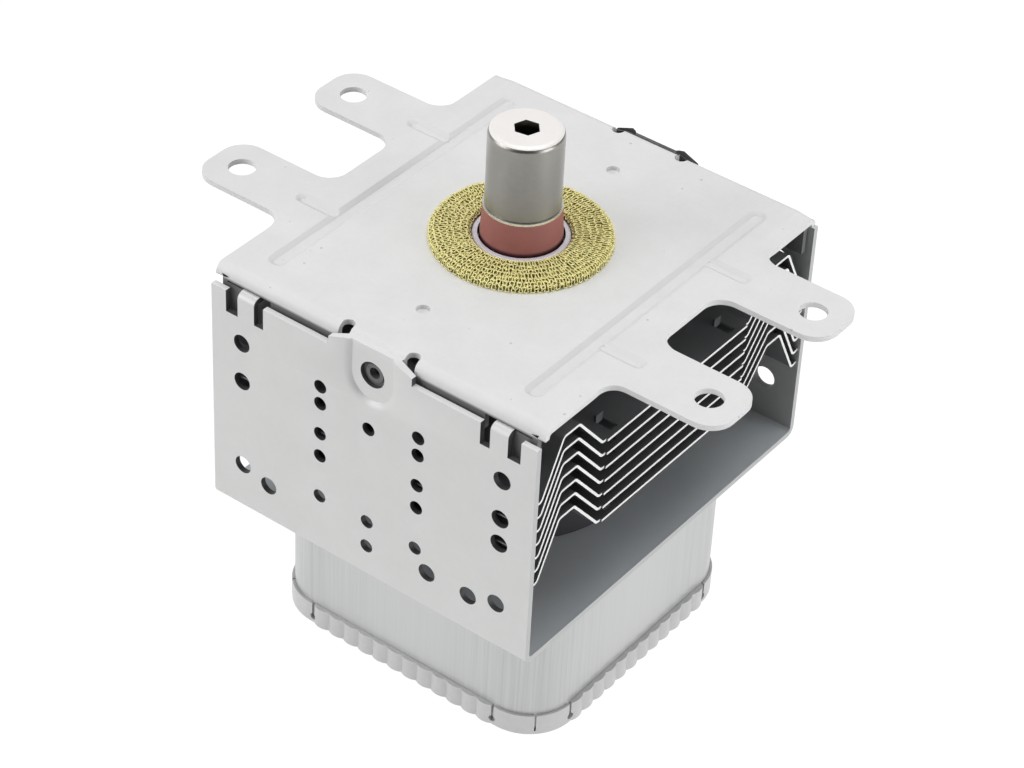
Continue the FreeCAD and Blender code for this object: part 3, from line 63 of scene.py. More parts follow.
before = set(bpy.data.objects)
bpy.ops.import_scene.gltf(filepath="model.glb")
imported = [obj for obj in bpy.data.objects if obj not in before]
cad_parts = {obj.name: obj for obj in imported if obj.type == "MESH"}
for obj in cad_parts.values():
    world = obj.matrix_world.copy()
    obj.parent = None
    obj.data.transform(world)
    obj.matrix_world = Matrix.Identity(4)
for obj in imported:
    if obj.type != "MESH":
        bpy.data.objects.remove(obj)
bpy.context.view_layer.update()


class Grain(Enum):
    """Direction in which a metal's fine lines run."""

    NONE = "none"
    UPRIGHT = "upright"


@dataclass(frozen=True)
class Finish:
    """One surface finish.

    Attributes:
        name: Its material's name.
        colour: Its base colour.
        metallic: How metallic it is.
        roughness: How rough it is.
        mottle: Strength of its cloudy tone.
        mottle_size: Size of the clouds, in mm.
        grain: Direction of its fine lines.
        grain_strength: How dark the lines are.
        bump: Strength of the relief of its clouds or lines.
        specks: Strength of its dark specks.
        fade: Heights at which a painted shade is clear and full, or None.
        fade_colour: What the painted shade multiplies the colour by.
        corner_only: Whether the lines are weak along the sides of a square can.
        coat: Weight of a glossy coat.
    """

    name: str
    colour: tuple[float, float, float]
    metallic: float = 0.0
    roughness: float = 0.5
    mottle: float = 0.0
    mottle_size: float = 9.0
    grain: Grain = Grain.NONE
    grain_strength: float = 0.0
    bump: float = 0.0
    specks: float = 0.0
    fade: tuple[float, float] | None = None
    fade_colour: tuple[float, float, float] = (0.5, 0.5, 0.5)
    corner_only: bool = False
    coat: float = 0.0


def value(tree: bpy.types.NodeTree, kind: str, **inputs: object) -> bpy.types.Node:
    """Adds a node and fills its named inputs.

    Args:
        tree: The tree that the node goes into.
        kind: The node's type.
        inputs: Socket names, with _ for a space, to a default or to a socket to link from.

    Returns:
        The new node.
    """
    node = tree.nodes.new(kind)
    for name, given in inputs.items():
        socket = node.inputs[name.replace("_", " ")]
        if isinstance(given, bpy.types.NodeSocket):
            tree.links.new(given, socket)
        else:
            socket.default_value = given
    return node


def maths(tree: bpy.types.NodeTree, operation: str, *terms: object) -> bpy.types.NodeSocket:
    """Adds a Math node.

    Args:
        tree: The tree that the node goes into.
        operation: The node's operation.
        terms: Numbers or sockets, in order.

    Returns:
        The node's output.
    """
    node = tree.nodes.new("ShaderNodeMath")
    node.operation = operation
    for slot, given in zip(node.inputs, terms):
        if isinstance(given, bpy.types.NodeSocket):
            tree.links.new(given, slot)
        else:
            slot.default_value = given
    return node.outputs[0]


def ramp(tree: bpy.types.NodeTree, source: bpy.types.NodeSocket, start: tuple[float, float],
         end: tuple[float, float], smooth: bool = False) -> bpy.types.NodeSocket:
    """Adds a Map Range node, clamped at both ends.

    Args:
        tree: The tree that the node goes into.
        source: What is mapped.
        start: A value of the source and what it becomes.
        end: Another value and what it becomes.
        smooth: Whether the way between them is rounded off.

    Returns:
        The node's output.
    """
    node = tree.nodes.new("ShaderNodeMapRange")
    if smooth:
        node.interpolation_type = "SMOOTHSTEP"
    for name, number in (("From Min", start[0]), ("From Max", end[0]),
                         ("To Min", start[1]), ("To Max", end[1])):
        node.inputs[name].default_value = number
    tree.links.new(source, node.inputs["Value"])
    return node.outputs[0]


def blend(tree: bpy.types.NodeTree, mode: str, amount: object, low: object, high: object
          ) -> bpy.types.NodeSocket:
    """Adds a colour Mix node.

    Args:
        tree: The tree that the node goes into.
        mode: The blend mode.
        amount: Factor, a number or a socket.
        low: First colour or socket.
        high: Second colour or socket.

    Returns:
        The mixed colour.
    """
    node = tree.nodes.new("ShaderNodeMix")
    node.data_type = "RGBA"
    node.blend_type = mode
    factor, first, second, result = node.inputs[0], node.inputs[6], node.inputs[7], node.outputs[2]
    for slot, given in ((factor, amount), (first, low), (second, high)):
        if isinstance(given, bpy.types.NodeSocket):
            tree.links.new(given, slot)
        elif isinstance(given, tuple):
            slot.default_value = (*given, 1.0)
        else:
            slot.default_value = given
    return result


def new_group(name: str, inputs: dict[str, float], outputs: tuple[str, ...]) -> tuple[
        bpy.types.NodeTree, bpy.types.Node, bpy.types.Node]:
    """Starts a shader node group of float sockets.

    Args:
        name: The group's name.
        inputs: Names and defaults of its inputs.
        outputs: Names of its outputs.

    Returns:
        The group, its input node and its output node.
    """
    group = bpy.data.node_groups.new(name, "ShaderNodeTree")
    for title, default in inputs.items():
        socket = group.interface.new_socket(title, in_out="INPUT", socket_type="NodeSocketFloat")
        socket.default_value = default
    for title in outputs:
        group.interface.new_socket(title, in_out="OUTPUT", socket_type="NodeSocketFloat")
    return group, group.nodes.new("NodeGroupInput"), group.nodes.new("NodeGroupOutput")


def uneven_tone_group() -> bpy.types.NodeTree:
    """Cloudy tone of plated sheet: two sizes of noise on Object coordinates, and fine specks."""
    group, given, out = new_group("uneven_tone", {"Size": 9.0, "Specks": 0.0}, ("Tone", "Specks"))
    where = group.nodes.new("ShaderNodeTexCoord").outputs["Object"]
    per_metre = maths(group, "DIVIDE", 1000.0, given.outputs["Size"])
    broad = value(group, "ShaderNodeTexNoise", Vector=where, Scale=per_metre, Detail=5.0, Roughness=0.6)
    fine = value(group, "ShaderNodeTexNoise", Vector=where, Scale=maths(group, "MULTIPLY", per_metre, 9.0),
                 Detail=3.0, Roughness=0.7)
    both = maths(group, "ADD", maths(group, "MULTIPLY", broad.outputs[0], 0.7),
                 maths(group, "MULTIPLY", fine.outputs[0], 0.3))
    group.links.new(both, out.inputs["Tone"])
    dots = value(group, "ShaderNodeTexVoronoi", Vector=where, Scale=420.0)
    near = maths(group, "LESS_THAN", dots.outputs["Distance"], 0.13)
    rare = value(group, "ShaderNodeTexNoise", Vector=where, Scale=90.0, Detail=2.0)
    spread = maths(group, "GREATER_THAN", rare.outputs[0], 0.6)
    speck = maths(group, "MULTIPLY", maths(group, "MULTIPLY", near, spread), given.outputs["Specks"])
    group.links.new(speck, out.inputs["Specks"])
    return group


def fine_lines_group() -> bpy.types.NodeTree:
    """Fine drawn lines: noise stretched by a scale for each axis of the Object coordinates."""
    group, given, out = new_group(
        "fine_lines", {"Scale X": 1.0, "Scale Y": 1.0, "Scale Z": 1.0}, ("Lines",))
    where = group.nodes.new("ShaderNodeTexCoord").outputs["Object"]
    split = value(group, "ShaderNodeSeparateXYZ", Vector=where)
    sides = [maths(group, "MULTIPLY", split.outputs[i], given.outputs[i]) for i in range(3)]
    point = value(group, "ShaderNodeCombineXYZ", X=sides[0], Y=sides[1], Z=sides[2])
    fine = value(group, "ShaderNodeTexNoise", Vector=point.outputs[0], Scale=1.0, Detail=4.0, Roughness=0.7)
    group.links.new(ramp(group, fine.outputs[0], (0.3, 0.0), (0.7, 1.0)), out.inputs["Lines"])
    return group


class FinishShop:
    """Makes each finish's material once and keeps it."""

    LINES = {Grain.UPRIGHT: (2600.0, 2600.0, 18.0)}
    SPECK = (0.3, 0.3, 0.3)
    LINE = (0.35, 0.35, 0.36)
    COAT_IOR = 1.9
    COAT_SHARE = 0.7
    RELIEF = 0.05 * MM
    CORNER = ((40.0 * MM, 0.25), (60.0 * MM, 1.0))

    def __init__(self) -> None:
        """Builds the shared node groups."""
        self.tone = uneven_tone_group()
        self.lines = fine_lines_group()
        self.made: dict[str, bpy.types.Material] = {}

    def material(self, finish: Finish) -> bpy.types.Material:
        """The material of one finish.

        Args:
            finish: The finish to make.

        Returns:
            The material.
        """
        if finish.name in self.made:
            return self.made[finish.name]
        material = bpy.data.materials.new(finish.name)
        material.use_nodes = True
        tree = material.node_tree
        shader = tree.nodes["Principled BSDF"]
        colour: object = finish.colour
        for name, number in (("Metallic", finish.metallic), ("Roughness", finish.roughness),
                             ("Coat Weight", finish.coat), ("Coat IOR", self.COAT_IOR),
                             ("Coat Roughness", finish.roughness * self.COAT_SHARE)):
            shader.inputs[name].default_value = number
        height = None
        if finish.mottle or finish.specks:
            colour, rough, height = self.clouded(tree, finish)
            tree.links.new(rough, shader.inputs["Roughness"])
        if finish.grain is not Grain.NONE:
            colour, height = self.drawn(tree, finish, colour)
        # Painted shade: the colour is darkened from one height to the next.
        if finish.fade:
            share = self.height_share(tree, *finish.fade)
            colour = blend(tree, "MULTIPLY", share, colour, finish.fade_colour)
        if isinstance(colour, tuple):
            shader.inputs["Base Color"].default_value = (*colour, 1.0)
        else:
            tree.links.new(colour, shader.inputs["Base Color"])
        if finish.bump and height is not None:
            relief = value(tree, "ShaderNodeBump", Height=height, Strength=finish.bump, Distance=self.RELIEF)
            tree.links.new(relief.outputs[0], shader.inputs["Normal"])
        self.made[finish.name] = material
        return material

    def clouded(self, tree: bpy.types.NodeTree, finish: Finish
                ) -> tuple[bpy.types.NodeSocket, bpy.types.NodeSocket, bpy.types.NodeSocket]:
        """A finish's cloudy tone and specks.

        Args:
            tree: The material's tree.
            finish: The finish.

        Returns:
            The colour, the roughness and the height of the clouds.
        """
        cloud = tree.nodes.new("ShaderNodeGroup")
        cloud.node_tree = self.tone
        cloud.inputs["Size"].default_value = finish.mottle_size
        cloud.inputs["Specks"].default_value = finish.specks
        darker = tuple(c * (1.0 - finish.mottle) for c in finish.colour)
        lighter = tuple(min(1.0, c * (1.0 + finish.mottle * 0.5)) for c in finish.colour)
        reach = ramp(tree, cloud.outputs["Tone"], (0.32, 0.0), (0.68, 1.0))
        colour = blend(tree, "MIX", reach, darker, lighter)
        if finish.specks:
            colour = blend(tree, "MULTIPLY", cloud.outputs["Specks"], colour, self.SPECK)
        rough = maths(tree, "ADD", finish.roughness - finish.mottle * 0.4,
                      maths(tree, "MULTIPLY", reach, finish.mottle * 0.8))
        return colour, rough, cloud.outputs["Tone"]

    def drawn(self, tree: bpy.types.NodeTree, finish: Finish, colour: object
              ) -> tuple[bpy.types.NodeSocket, bpy.types.NodeSocket]:
        """A finish's fine drawn lines.

        Args:
            tree: The material's tree.
            finish: The finish.
            colour: The colour under the lines, or its socket.

        Returns:
            The colour with its lines, and the lines' height.
        """
        drawn = tree.nodes.new("ShaderNodeGroup")
        drawn.node_tree = self.lines
        for name, scale in zip(("Scale X", "Scale Y", "Scale Z"), self.LINES[finish.grain]):
            drawn.inputs[name].default_value = scale
        shade = maths(tree, "MULTIPLY", maths(tree, "SUBTRACT", 1.0, drawn.outputs["Lines"]),
                      finish.grain_strength)
        if finish.corner_only:
            shade = maths(tree, "MULTIPLY", shade, self.corner_weight(tree))
        return blend(tree, "MULTIPLY", shade, colour, self.LINE), drawn.outputs["Lines"]

    @staticmethod
    def height_share(tree: bpy.types.NodeTree, clear: float, full: float) -> bpy.types.NodeSocket:
        """How far a point lies from one height to another.

        Args:
            tree: The material's tree.
            clear: Height at which the share is 0, in metres.
            full: Height at which it is 1.

        Returns:
            The share.
        """
        where = tree.nodes.new("ShaderNodeTexCoord").outputs["Object"]
        level = value(tree, "ShaderNodeSeparateXYZ", Vector=where).outputs[2]
        return ramp(tree, level, (clear, 0.0), (full, 1.0), smooth=True)

    def corner_weight(self, tree: bpy.types.NodeTree) -> bpy.types.NodeSocket:
        """A weight that is small along a square can's sides and full at its corners.

        Args:
            tree: The material's tree.

        Returns:
            The weight.
        """
        where = tree.nodes.new("ShaderNodeTexCoord").outputs["Object"]
        split = value(tree, "ShaderNodeSeparateXYZ", Vector=where)
        sides = [maths(tree, "ABSOLUTE", split.outputs[i]) for i in range(2)]
        return ramp(tree, maths(tree, "ADD", *sides), *self.CORNER)


SHOP = FinishShop()

# The plate's zinc, with painted shade on the flanges and tabs below the bend, where they stand inside the
# yoke's walls.
PLATE_ZINC = Finish("plate_zinc", (0.77, 0.77, 0.77), 0.08, 0.6, mottle=0.05, mottle_size=11.0,
                    bump=0.06, specks=0.35, fade=(-2.3 * MM, -3.2 * MM), fade_colour=(0.2, 0.2, 0.2))
YOKE_ZINC = Finish("yoke_zinc", (0.70, 0.70, 0.695), 0.25, 0.5, mottle=0.04, mottle_size=16.0, bump=0.04)
# Painted shade: the yoke's zinc, darker and bluer on the floor inside the yoke.
YOKE_FLOOR_SHADE = Finish("yoke_floor_shade", (0.60, 0.635, 0.66), 0.25, 0.5, mottle=0.04, mottle_size=16.0)
# Painted shade: the yoke's zinc, darker on the rear wall's inner side.
YOKE_BACK_SHADE = Finish("yoke_back_shade", (0.40, 0.41, 0.41), 0.25, 0.5, mottle=0.06, mottle_size=12.0)
SHADED_EDGE = Finish("shaded_edge", (0.52, 0.53, 0.53), 0.25, 0.5)
# Painted shade on the sloping sides of the plate's grooves and pips.
GROOVE_SHADE = Finish("groove_shade", (0.715, 0.715, 0.715), 0.08, 0.6)
# Painted highlight on the front wall's upper edge.
TOP_EDGE_HIGHLIGHT = Finish("top_edge_highlight", (0.80, 0.80, 0.80), 0.25, 0.5)
# Painted highlight on the sheared ends of the fins and of the yoke's front wall.
CUT_EDGE_HIGHLIGHT = Finish("cut_edge_highlight", (0.93, 0.93, 0.925), 0.1, 0.5)
# Painted shade on the sleeve's faces that look inwards at the ceramic.
COLLAR_GAP_SHADE = Finish("collar_gap_shade", (0.035, 0.035, 0.037), 0.0, 0.7)
BORE_SHADE = Finish("bore_shade", (0.10, 0.10, 0.105), 0.2, 0.5)
# The cap's steel, with a painted shadow line along its foot, just above the brim.
CAP_STEEL = Finish("cap_steel", (0.27, 0.26, 0.23), 1.0, 0.4, coat=1.0, mottle=0.16, mottle_size=9.0,
                   fade=(9.2 * MM, 8.85 * MM), fade_colour=(0.12, 0.12, 0.12))
# Painted highlight: the cap's steel drawn near white and less metallic on its top faces.
CAP_CROWN_HIGHLIGHT = Finish("cap_crown_highlight", (0.95, 0.92, 0.90), 0.2, 0.4, mottle=0.03)
BRIM_STEEL = Finish("brim_steel", (0.88, 0.87, 0.84), 0.8, 0.22)
COLLAR_METAL = Finish("collar_metal", (0.80, 0.77, 0.83), 0.2, 0.38, mottle=0.05, mottle_size=4.0)
# The ceramic's pink, with painted shade darkening it towards its foot; the stem ceramic in the box, lower
# down, gets the full painted shade.
PINK_CERAMIC = Finish("pink_ceramic", (0.37, 0.135, 0.125), 0.0, 0.55, mottle=0.08, mottle_size=3.0,
                      fade=(2.3 * MM, 1.5 * MM), fade_colour=(0.16, 0.10, 0.14))
KNIT_WIRE = Finish("knit_wire", (0.92, 0.85, 0.39), 0.2, 0.35)
# Painted shade: the same wire, darker in the lower layer.
KNIT_UNDER_SHADE = Finish("knit_under_shade", (0.50, 0.45, 0.15), 0.1, 0.5)
KNIT_SHADE = Finish("knit_shade", (0.125, 0.11, 0.02), 0.0, 0.8)
# Painted shade: the fins drawn near black for the shade between them.
FIN_SHADE = Finish("fin_sheet", (0.16, 0.165, 0.17), 0.6, 0.5, mottle=0.05)
BOX_SHEET = Finish("box_sheet", (0.63, 0.635, 0.635), 0.45, 0.38, grain=Grain.UPRIGHT, grain_strength=0.28,
                   bump=0.07, corner_only=True)
LID_SHEET = Finish("lid_sheet", (0.60, 0.605, 0.60), 0.5, 0.33, mottle=0.08)
FERRITE = Finish("ferrite", (0.035, 0.035, 0.038), 0.0, 0.6, mottle=0.15)
COPPER = Finish("copper", (0.62, 0.28, 0.17), 0.9, 0.35, mottle=0.08)
SOFT_IRON = Finish("soft_iron", (0.35, 0.35, 0.36), 0.9, 0.4)
DARK_WIRE = Finish("dark_wire", (0.20, 0.20, 0.21), 0.8, 0.5)
MOULDING = Finish("moulding", (0.72, 0.69, 0.58), 0.0, 0.5, mottle=0.03)
BLADE_METAL = Finish("blade_metal", (0.72, 0.71, 0.68), 0.95, 0.28)
FLANGE_STEEL = Finish("flange_steel", (0.60, 0.60, 0.60), 0.8, 0.4, mottle=0.06)


def finished_copy(node: str, name: str, finish: Finish, bevel: float = 0.0, angle: float = 35.0,
                  shape: Reshape | None = None, pressed: float = 0.0,
                  patches: tuple[tuple[Finish, FaceTest], ...] = ()) -> bpy.types.Object:
    """A merged, smoothed and edge-broken copy that stands for a node.

    Args:
        node: The node to stand for.
        name: The copy's name.
        finish: Its finish.
        bevel: Width of its broken edges, in metres, or 0.
        angle: Least angle of an edge that stays sharp, in degrees.
        shape: Work to do on the merged copy before its edges are marked.
        pressed: Width of the soft edges of its pressed grooves, or 0.
        patches: Other finishes, each with the test of the faces that it goes on; the last one wins.

    Returns:
        The copy.
    """
    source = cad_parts[node]
    work = bmesh.new()
    work.from_mesh(source.data)
    bmesh.ops.remove_doubles(work, verts=work.verts, dist=WELD)
    bmesh.ops.dissolve_limit(work, angle_limit=math.radians(FLAT), verts=work.verts, edges=work.edges)
    if pressed:
        weights = work.edges.layers.float.new("bevel_weight_edge")
        for edge in work.edges:
            if len(edge.link_faces) == 2 and all(abs(face.normal.z) > LEVEL for face in edge.link_faces):
                edge[weights] = float(edge.calc_face_angle(0.0) > math.radians(PRESSED_ANGLE))
    if shape:
        shape(work)
    for face in work.faces:
        face.smooth = True
    for edge in work.edges:
        if len(edge.link_faces) == 2:
            edge.smooth = edge.calc_face_angle(math.pi) < math.radians(angle)
    mesh = bpy.data.meshes.new(name)
    work.to_mesh(mesh)
    work.free()
    piece = placed(mesh, name, finish, node, bevel, angle, pressed)
    for patch, wanted in patches:
        mesh.materials.append(SHOP.material(patch))
        for polygon in mesh.polygons:
            if wanted(polygon.center, polygon.normal):
                polygon.material_index = len(mesh.materials) - 1
    return piece


def placed(mesh: bpy.types.Mesh, name: str, finish: Finish, node: str, bevel: float = 0.0,
           angle: float = 35.0, pressed: float = 0.0) -> bpy.types.Object:
    """Links a mesh as a piece on the root body.

    Args:
        mesh: The piece's mesh.
        name: The piece's name.
        finish: Its finish.
        node: The node that it stands for.
        bevel: Width of its broken edges, in metres, or 0.
        angle: Least angle of an edge that is broken, in degrees.
        pressed: Width of the soft edges marked by a bevel weight, or 0.

    Returns:
        The piece.
    """
    piece = bpy.data.objects.new(name, mesh)
    bpy.context.scene.collection.objects.link(piece)
    mesh.materials.clear()
    mesh.materials.append(SHOP.material(finish))
    if pressed:
        soft = piece.modifiers.new("soft_grooves", "BEVEL")
        soft.width = pressed
        soft.segments = 3
        soft.limit_method = "WEIGHT"
        soft.use_clamp_overlap = True
    if bevel:
        broken = piece.modifiers.new("broken_edges", "BEVEL")
        broken.width = bevel
        broken.segments = 2
        broken.limit_method = "ANGLE"
        broken.angle_limit = math.radians(angle)
        broken.harden_normals = not pressed
        broken.use_clamp_overlap = True
    if pressed:
        flat = piece.modifiers.new("flat_faces", "WEIGHTED_NORMAL")
        flat.keep_sharp = True
    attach(piece, "root")
    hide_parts(node)
    LOG.info("piece %s stands for %s", name, node)
    return piece


def repaint(node: str, finish: Finish) -> None:
    """Gives a node that stays a better material.

    Args:
        node: The node.
        finish: Its finish.
    """
    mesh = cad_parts[node].data
    mesh.materials.clear()
    mesh.materials.append(SHOP.material(finish))


def sheared_end(node: str, within: float) -> FaceTest:
    """Makes the test for the sheared faces at the two ends of X.

    Args:
        node: The node whose ends are meant.
        within: How far inside the node's box such a face may lie.

    Returns:
        The test of a face's centre and normal.
    """
    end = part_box(node)[1][0] - within
    return lambda centre, normal: abs(normal.x) > 0.9 and abs(centre.x) > end


def lowered(level: float, above: bool) -> Reshape:
    """Makes the reshaping that takes the points on one side of a level down with the yoke's floor.

    Args:
        level: The level, in metres.
        above: Whether the points above it move, or else those below.

    Returns:
        The reshaping.
    """
    def lower(work: bmesh.types.BMesh) -> None:
        """Moves the points of a mesh."""
        for vertex in work.verts:
            if vertex.co.z > level if above else vertex.co.z < level:
                vertex.co.z -= FLOOR_DROP

    return lower


def slice_whole(work: bmesh.types.BMesh, place: Vector, normal: Vector) -> None:
    """Cuts new edges into all of a mesh along a plane.

    Args:
        work: The mesh.
        place: A point of the plane.
        normal: The plane's normal.
    """
    bmesh.ops.bisect_plane(work, geom=work.verts[:] + work.edges[:] + work.faces[:], dist=CUT,
                           plane_co=place, plane_no=normal)


@dataclass
class PlateSheet:
    """The mounting plate: margins drawn down at its corners, longer flanges and deeper grooves."""

    edge: float = 0.12 * MM

    # Pressed grooves: as packed, how far along Y they reach, and what is added to their depth.
    groove_edge: float = 0.4 * MM
    groove_depth: float = 0.45 * MM
    groove_limit: float = 42.5 * MM
    groove_extra: float = 0.22 * MM
    groove_slopes: tuple[float, float] = (0.3, 0.985)

    # Turned-down flanges: points under the level and between the ends are moved outwards.
    flange_level: float = -1.9 * MM
    flange_end: float = 33.5 * MM
    flange_beyond: float = 37.0 * MM
    flange_extra: float = 2.4 * MM

    # Shaded ring of the clinch tab, seen through the hole in the yoke's thumb recess.
    clinch_top: float = -4.0 * MM
    clinch_level: float = -7.0 * MM
    clinch_rim: float = 1.6 * MM
    clinch_reach: float = 3.4 * MM

    # Margins between ears and corners: where they start in X and in Y, and how low they end.
    margin_start: float = 36.2 * MM
    margin_width: float = 4.0 * MM
    margin_from: float = 25.5 * MM
    margin_run: float = 5.0 * MM
    margin_drop: float = 0.45 * MM
    steps: int = 5

    def reshape(self, work: bmesh.types.BMesh) -> None:
        """Draws the margins down, deepens the grooves and lengthens the flanges.

        Args:
            work: The plate's mesh.
        """
        for axis, start, width in ((Vector((1, 0, 0)), self.margin_start, self.margin_width),
                                   (Vector((0, 1, 0)), self.margin_from, self.margin_run)):
            for step in range(self.steps + 1):
                for side in (-1.0, 1.0):
                    slice_whole(work, axis * side * (start + width * step / self.steps), axis)
        for vertex in work.verts:
            place = vertex.co
            if abs(place.z + self.groove_depth) < 0.01 * MM and abs(place.y) < self.groove_limit:
                place.z -= self.groove_extra
            out = min(max((abs(place.x) - self.margin_start) / self.margin_width, 0.0), 1.0)
            along = min(max((abs(place.y) - self.margin_from) / self.margin_run, 0.0), 1.0)
            place.z -= self.margin_drop * math.sin(out * math.pi / 2.0) * (3.0 - 2.0 * along) * along ** 2
            if place.z < self.flange_level and self.flange_end < abs(place.x) < self.flange_beyond:
                place.x += math.copysign(self.flange_extra, place.x)

    def on_groove(self, centre: Vector, normal: Vector) -> bool:
        """Whether a face is the sloping side of a groove or pip.

        Args:
            centre: The face's centre.
            normal: Its normal.

        Returns:
            Whether it is one.
        """
        low, high = self.groove_slopes
        return low < normal.z < high and abs(centre.y) < self.groove_limit

    def on_clinch(self, centre: Vector, normal: Vector) -> bool:
        """Whether a face lies in the shaded ring of a clinch tab.

        Args:
            centre: The face's centre.
            normal: Its normal.

        Returns:
            Whether it is one.
        """
        away = math.hypot(centre.x, centre.z - self.clinch_level)
        return (abs(centre.y) > self.groove_limit and centre.z < self.clinch_top
                and self.clinch_rim < away < self.clinch_reach)

    def build(self) -> None:
        """Dresses the plate."""
        # The grooves' sloping sides and the clinch tab's ring get painted shade.
        finished_copy("mounting_plate", "plate_sheet", PLATE_ZINC, self.edge, shape=self.reshape,
                      pressed=self.groove_edge,
                      patches=((GROOVE_SHADE, self.on_groove), (BORE_SHADE, self.on_clinch)))


@dataclass
class YokeSheet:
    """The yoke: shoulders and floor a little lower than packed, and deeper thumb recesses."""

    edge: float = 0.12 * MM

    # Floor and shoulders.
    bend_reach: float = 2.5 * MM
    shoulder_level: float = -2.9 * MM
    shoulder_drop: float = 1.5 * MM

    # The crown in the middle of each wall's upper edge, and the strip of painted shade along the rear one.
    crown_reach: float = 9.0 * MM
    crown_foot: float = -2.2 * MM
    crown_line: float = 0.7 * MM

    # Thumb recess: its reach along X, its foot, its depth as packed and what is added.
    thumb_reach: float = 6.6 * MM
    thumb_foot: float = -14.7 * MM
    thumb_depth: float = 0.55 * MM
    thumb_extra: float = 0.38 * MM

    # Where the wall's own faces are told apart: floor, walls, front end, upper edge, holes.
    inside_level: float = -30.0 * MM
    inside_reach: float = 40.0 * MM
    front_end: float = 37.5 * MM
    slot_level: float = -4.0 * MM
    bore_start: float = 0.1 * MM
    bore_end: float = 2.6 * MM
    end_margin: float = 0.5 * MM

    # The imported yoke's lowest point, right end and wall face.
    base: float = field(init=False)
    end: float = field(init=False)
    wall: float = field(init=False)

    def __post_init__(self) -> None:
        """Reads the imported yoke's box."""
        (_, _, self.base), (self.end, self.wall, _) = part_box("yoke")

    def reshape(self, work: bmesh.types.BMesh) -> None:
        """Lowers the shoulders and the floor and deepens the thumb recesses.

        Args:
            work: The yoke's mesh.
        """
        slice_whole(work, Vector((0.0, 0.0, self.crown_foot)), Vector((0.0, 0.0, 1.0)))
        crown = [face for face in work.faces if self.at_rear_crown(face.calc_center_median())]
        parts = set(crown) | {edge for face in crown for edge in face.edges} | {
            vertex for face in crown for vertex in face.verts}
        bmesh.ops.bisect_plane(work, geom=sorted(parts, key=lambda part: (type(part).__name__, part.index)),
                               dist=CUT, plane_co=(0.0, self.wall - self.crown_line, 0.0),
                               plane_no=(0.0, 1.0, 0.0))
        for vertex in work.verts:
            place = vertex.co
            if place.z < self.base + self.bend_reach:
                place.z -= FLOOR_DROP
            elif place.z > self.shoulder_level and abs(place.x) > self.crown_reach:
                place.z -= self.shoulder_drop
            elif abs(place.x) < self.thumb_reach and place.z > self.thumb_foot:
                sunk = min((self.wall - abs(place.y)) / self.thumb_depth, 1.0)
                place.y -= math.copysign(self.thumb_extra * sunk, place.y)

    def at_rear_crown(self, centre: Vector) -> bool:
        """Whether a face lies in the rear wall's crown.

        Args:
            centre: The face's centre.

        Returns:
            Whether it does.
        """
        return centre.y > self.inside_reach and centre.z > self.crown_foot

    def on_floor(self, centre: Vector, normal: Vector) -> bool:
        """Whether a face is the upper side of the floor.

        Args:
            centre: The face's centre.
            normal: Its normal.

        Returns:
            Whether it is one.
        """
        return normal.z > 0.5 and centre.z < self.inside_level

    def on_rear_inside(self, centre: Vector, normal: Vector) -> bool:
        """Whether a face is the inner side of the rear wall.

        Args:
            centre: The face's centre.
            normal: Its normal.

        Returns:
            Whether it is one.
        """
        return normal.y < -0.9 and centre.y > self.inside_reach

    def on_front_end(self, centre: Vector, normal: Vector) -> bool:
        """Whether a face is the front wall's sheared end.

        Args:
            centre: The face's centre.
            normal: Its normal.

        Returns:
            Whether it is one.
        """
        return centre.y < -self.inside_reach and normal.x > 0.9 and centre.x > self.front_end

    def on_upper_edge(self, centre: Vector, normal: Vector) -> bool:
        """Whether a face is the front wall's upper edge.

        Args:
            centre: The face's centre.
            normal: Its normal.

        Returns:
            Whether it is one.
        """
        return centre.y < -self.inside_reach and normal.z > 0.97 and centre.z > self.slot_level

    def in_shade(self, centre: Vector, normal: Vector) -> bool:
        """Whether a face gets painted shade: in a hole through a wall, or on the inner half of the rear
        crown.

        Args:
            centre: The face's centre.
            normal: Its normal.

        Returns:
            Whether it is one.
        """
        if self.at_rear_crown(centre):
            return normal.y < -0.5 or normal.z > 0.3 and centre.y < self.wall - self.crown_line
        upward = normal.z > 0.8 and centre.z > self.slot_level
        return (self.wall - self.bore_start > abs(centre.y) > self.wall - self.bore_end
                and abs(normal.y) < 0.5 and abs(centre.x) < self.end - self.end_margin
                and centre.z > self.base + self.bend_reach and not upward)

    def build(self) -> None:
        """Dresses the yoke."""
        # The floor's upper side, the rear wall's inner side, the holes and the inner half of the rear crown
        # get painted shade, the sheared ends a shaded grey, and the front wall's end and upper edge a painted
        # highlight.
        finished_copy("yoke", "yoke_sheet", YOKE_ZINC, self.edge, shape=self.reshape, patches=(
            (YOKE_FLOOR_SHADE, self.on_floor), (YOKE_BACK_SHADE, self.on_rear_inside),
            (SHADED_EDGE, sheared_end("yoke", 0.05 * MM)), (CUT_EDGE_HIGHLIGHT, self.on_front_end),
            (TOP_EDGE_HIGHLIGHT, self.on_upper_edge), (BORE_SHADE, self.in_shade)))


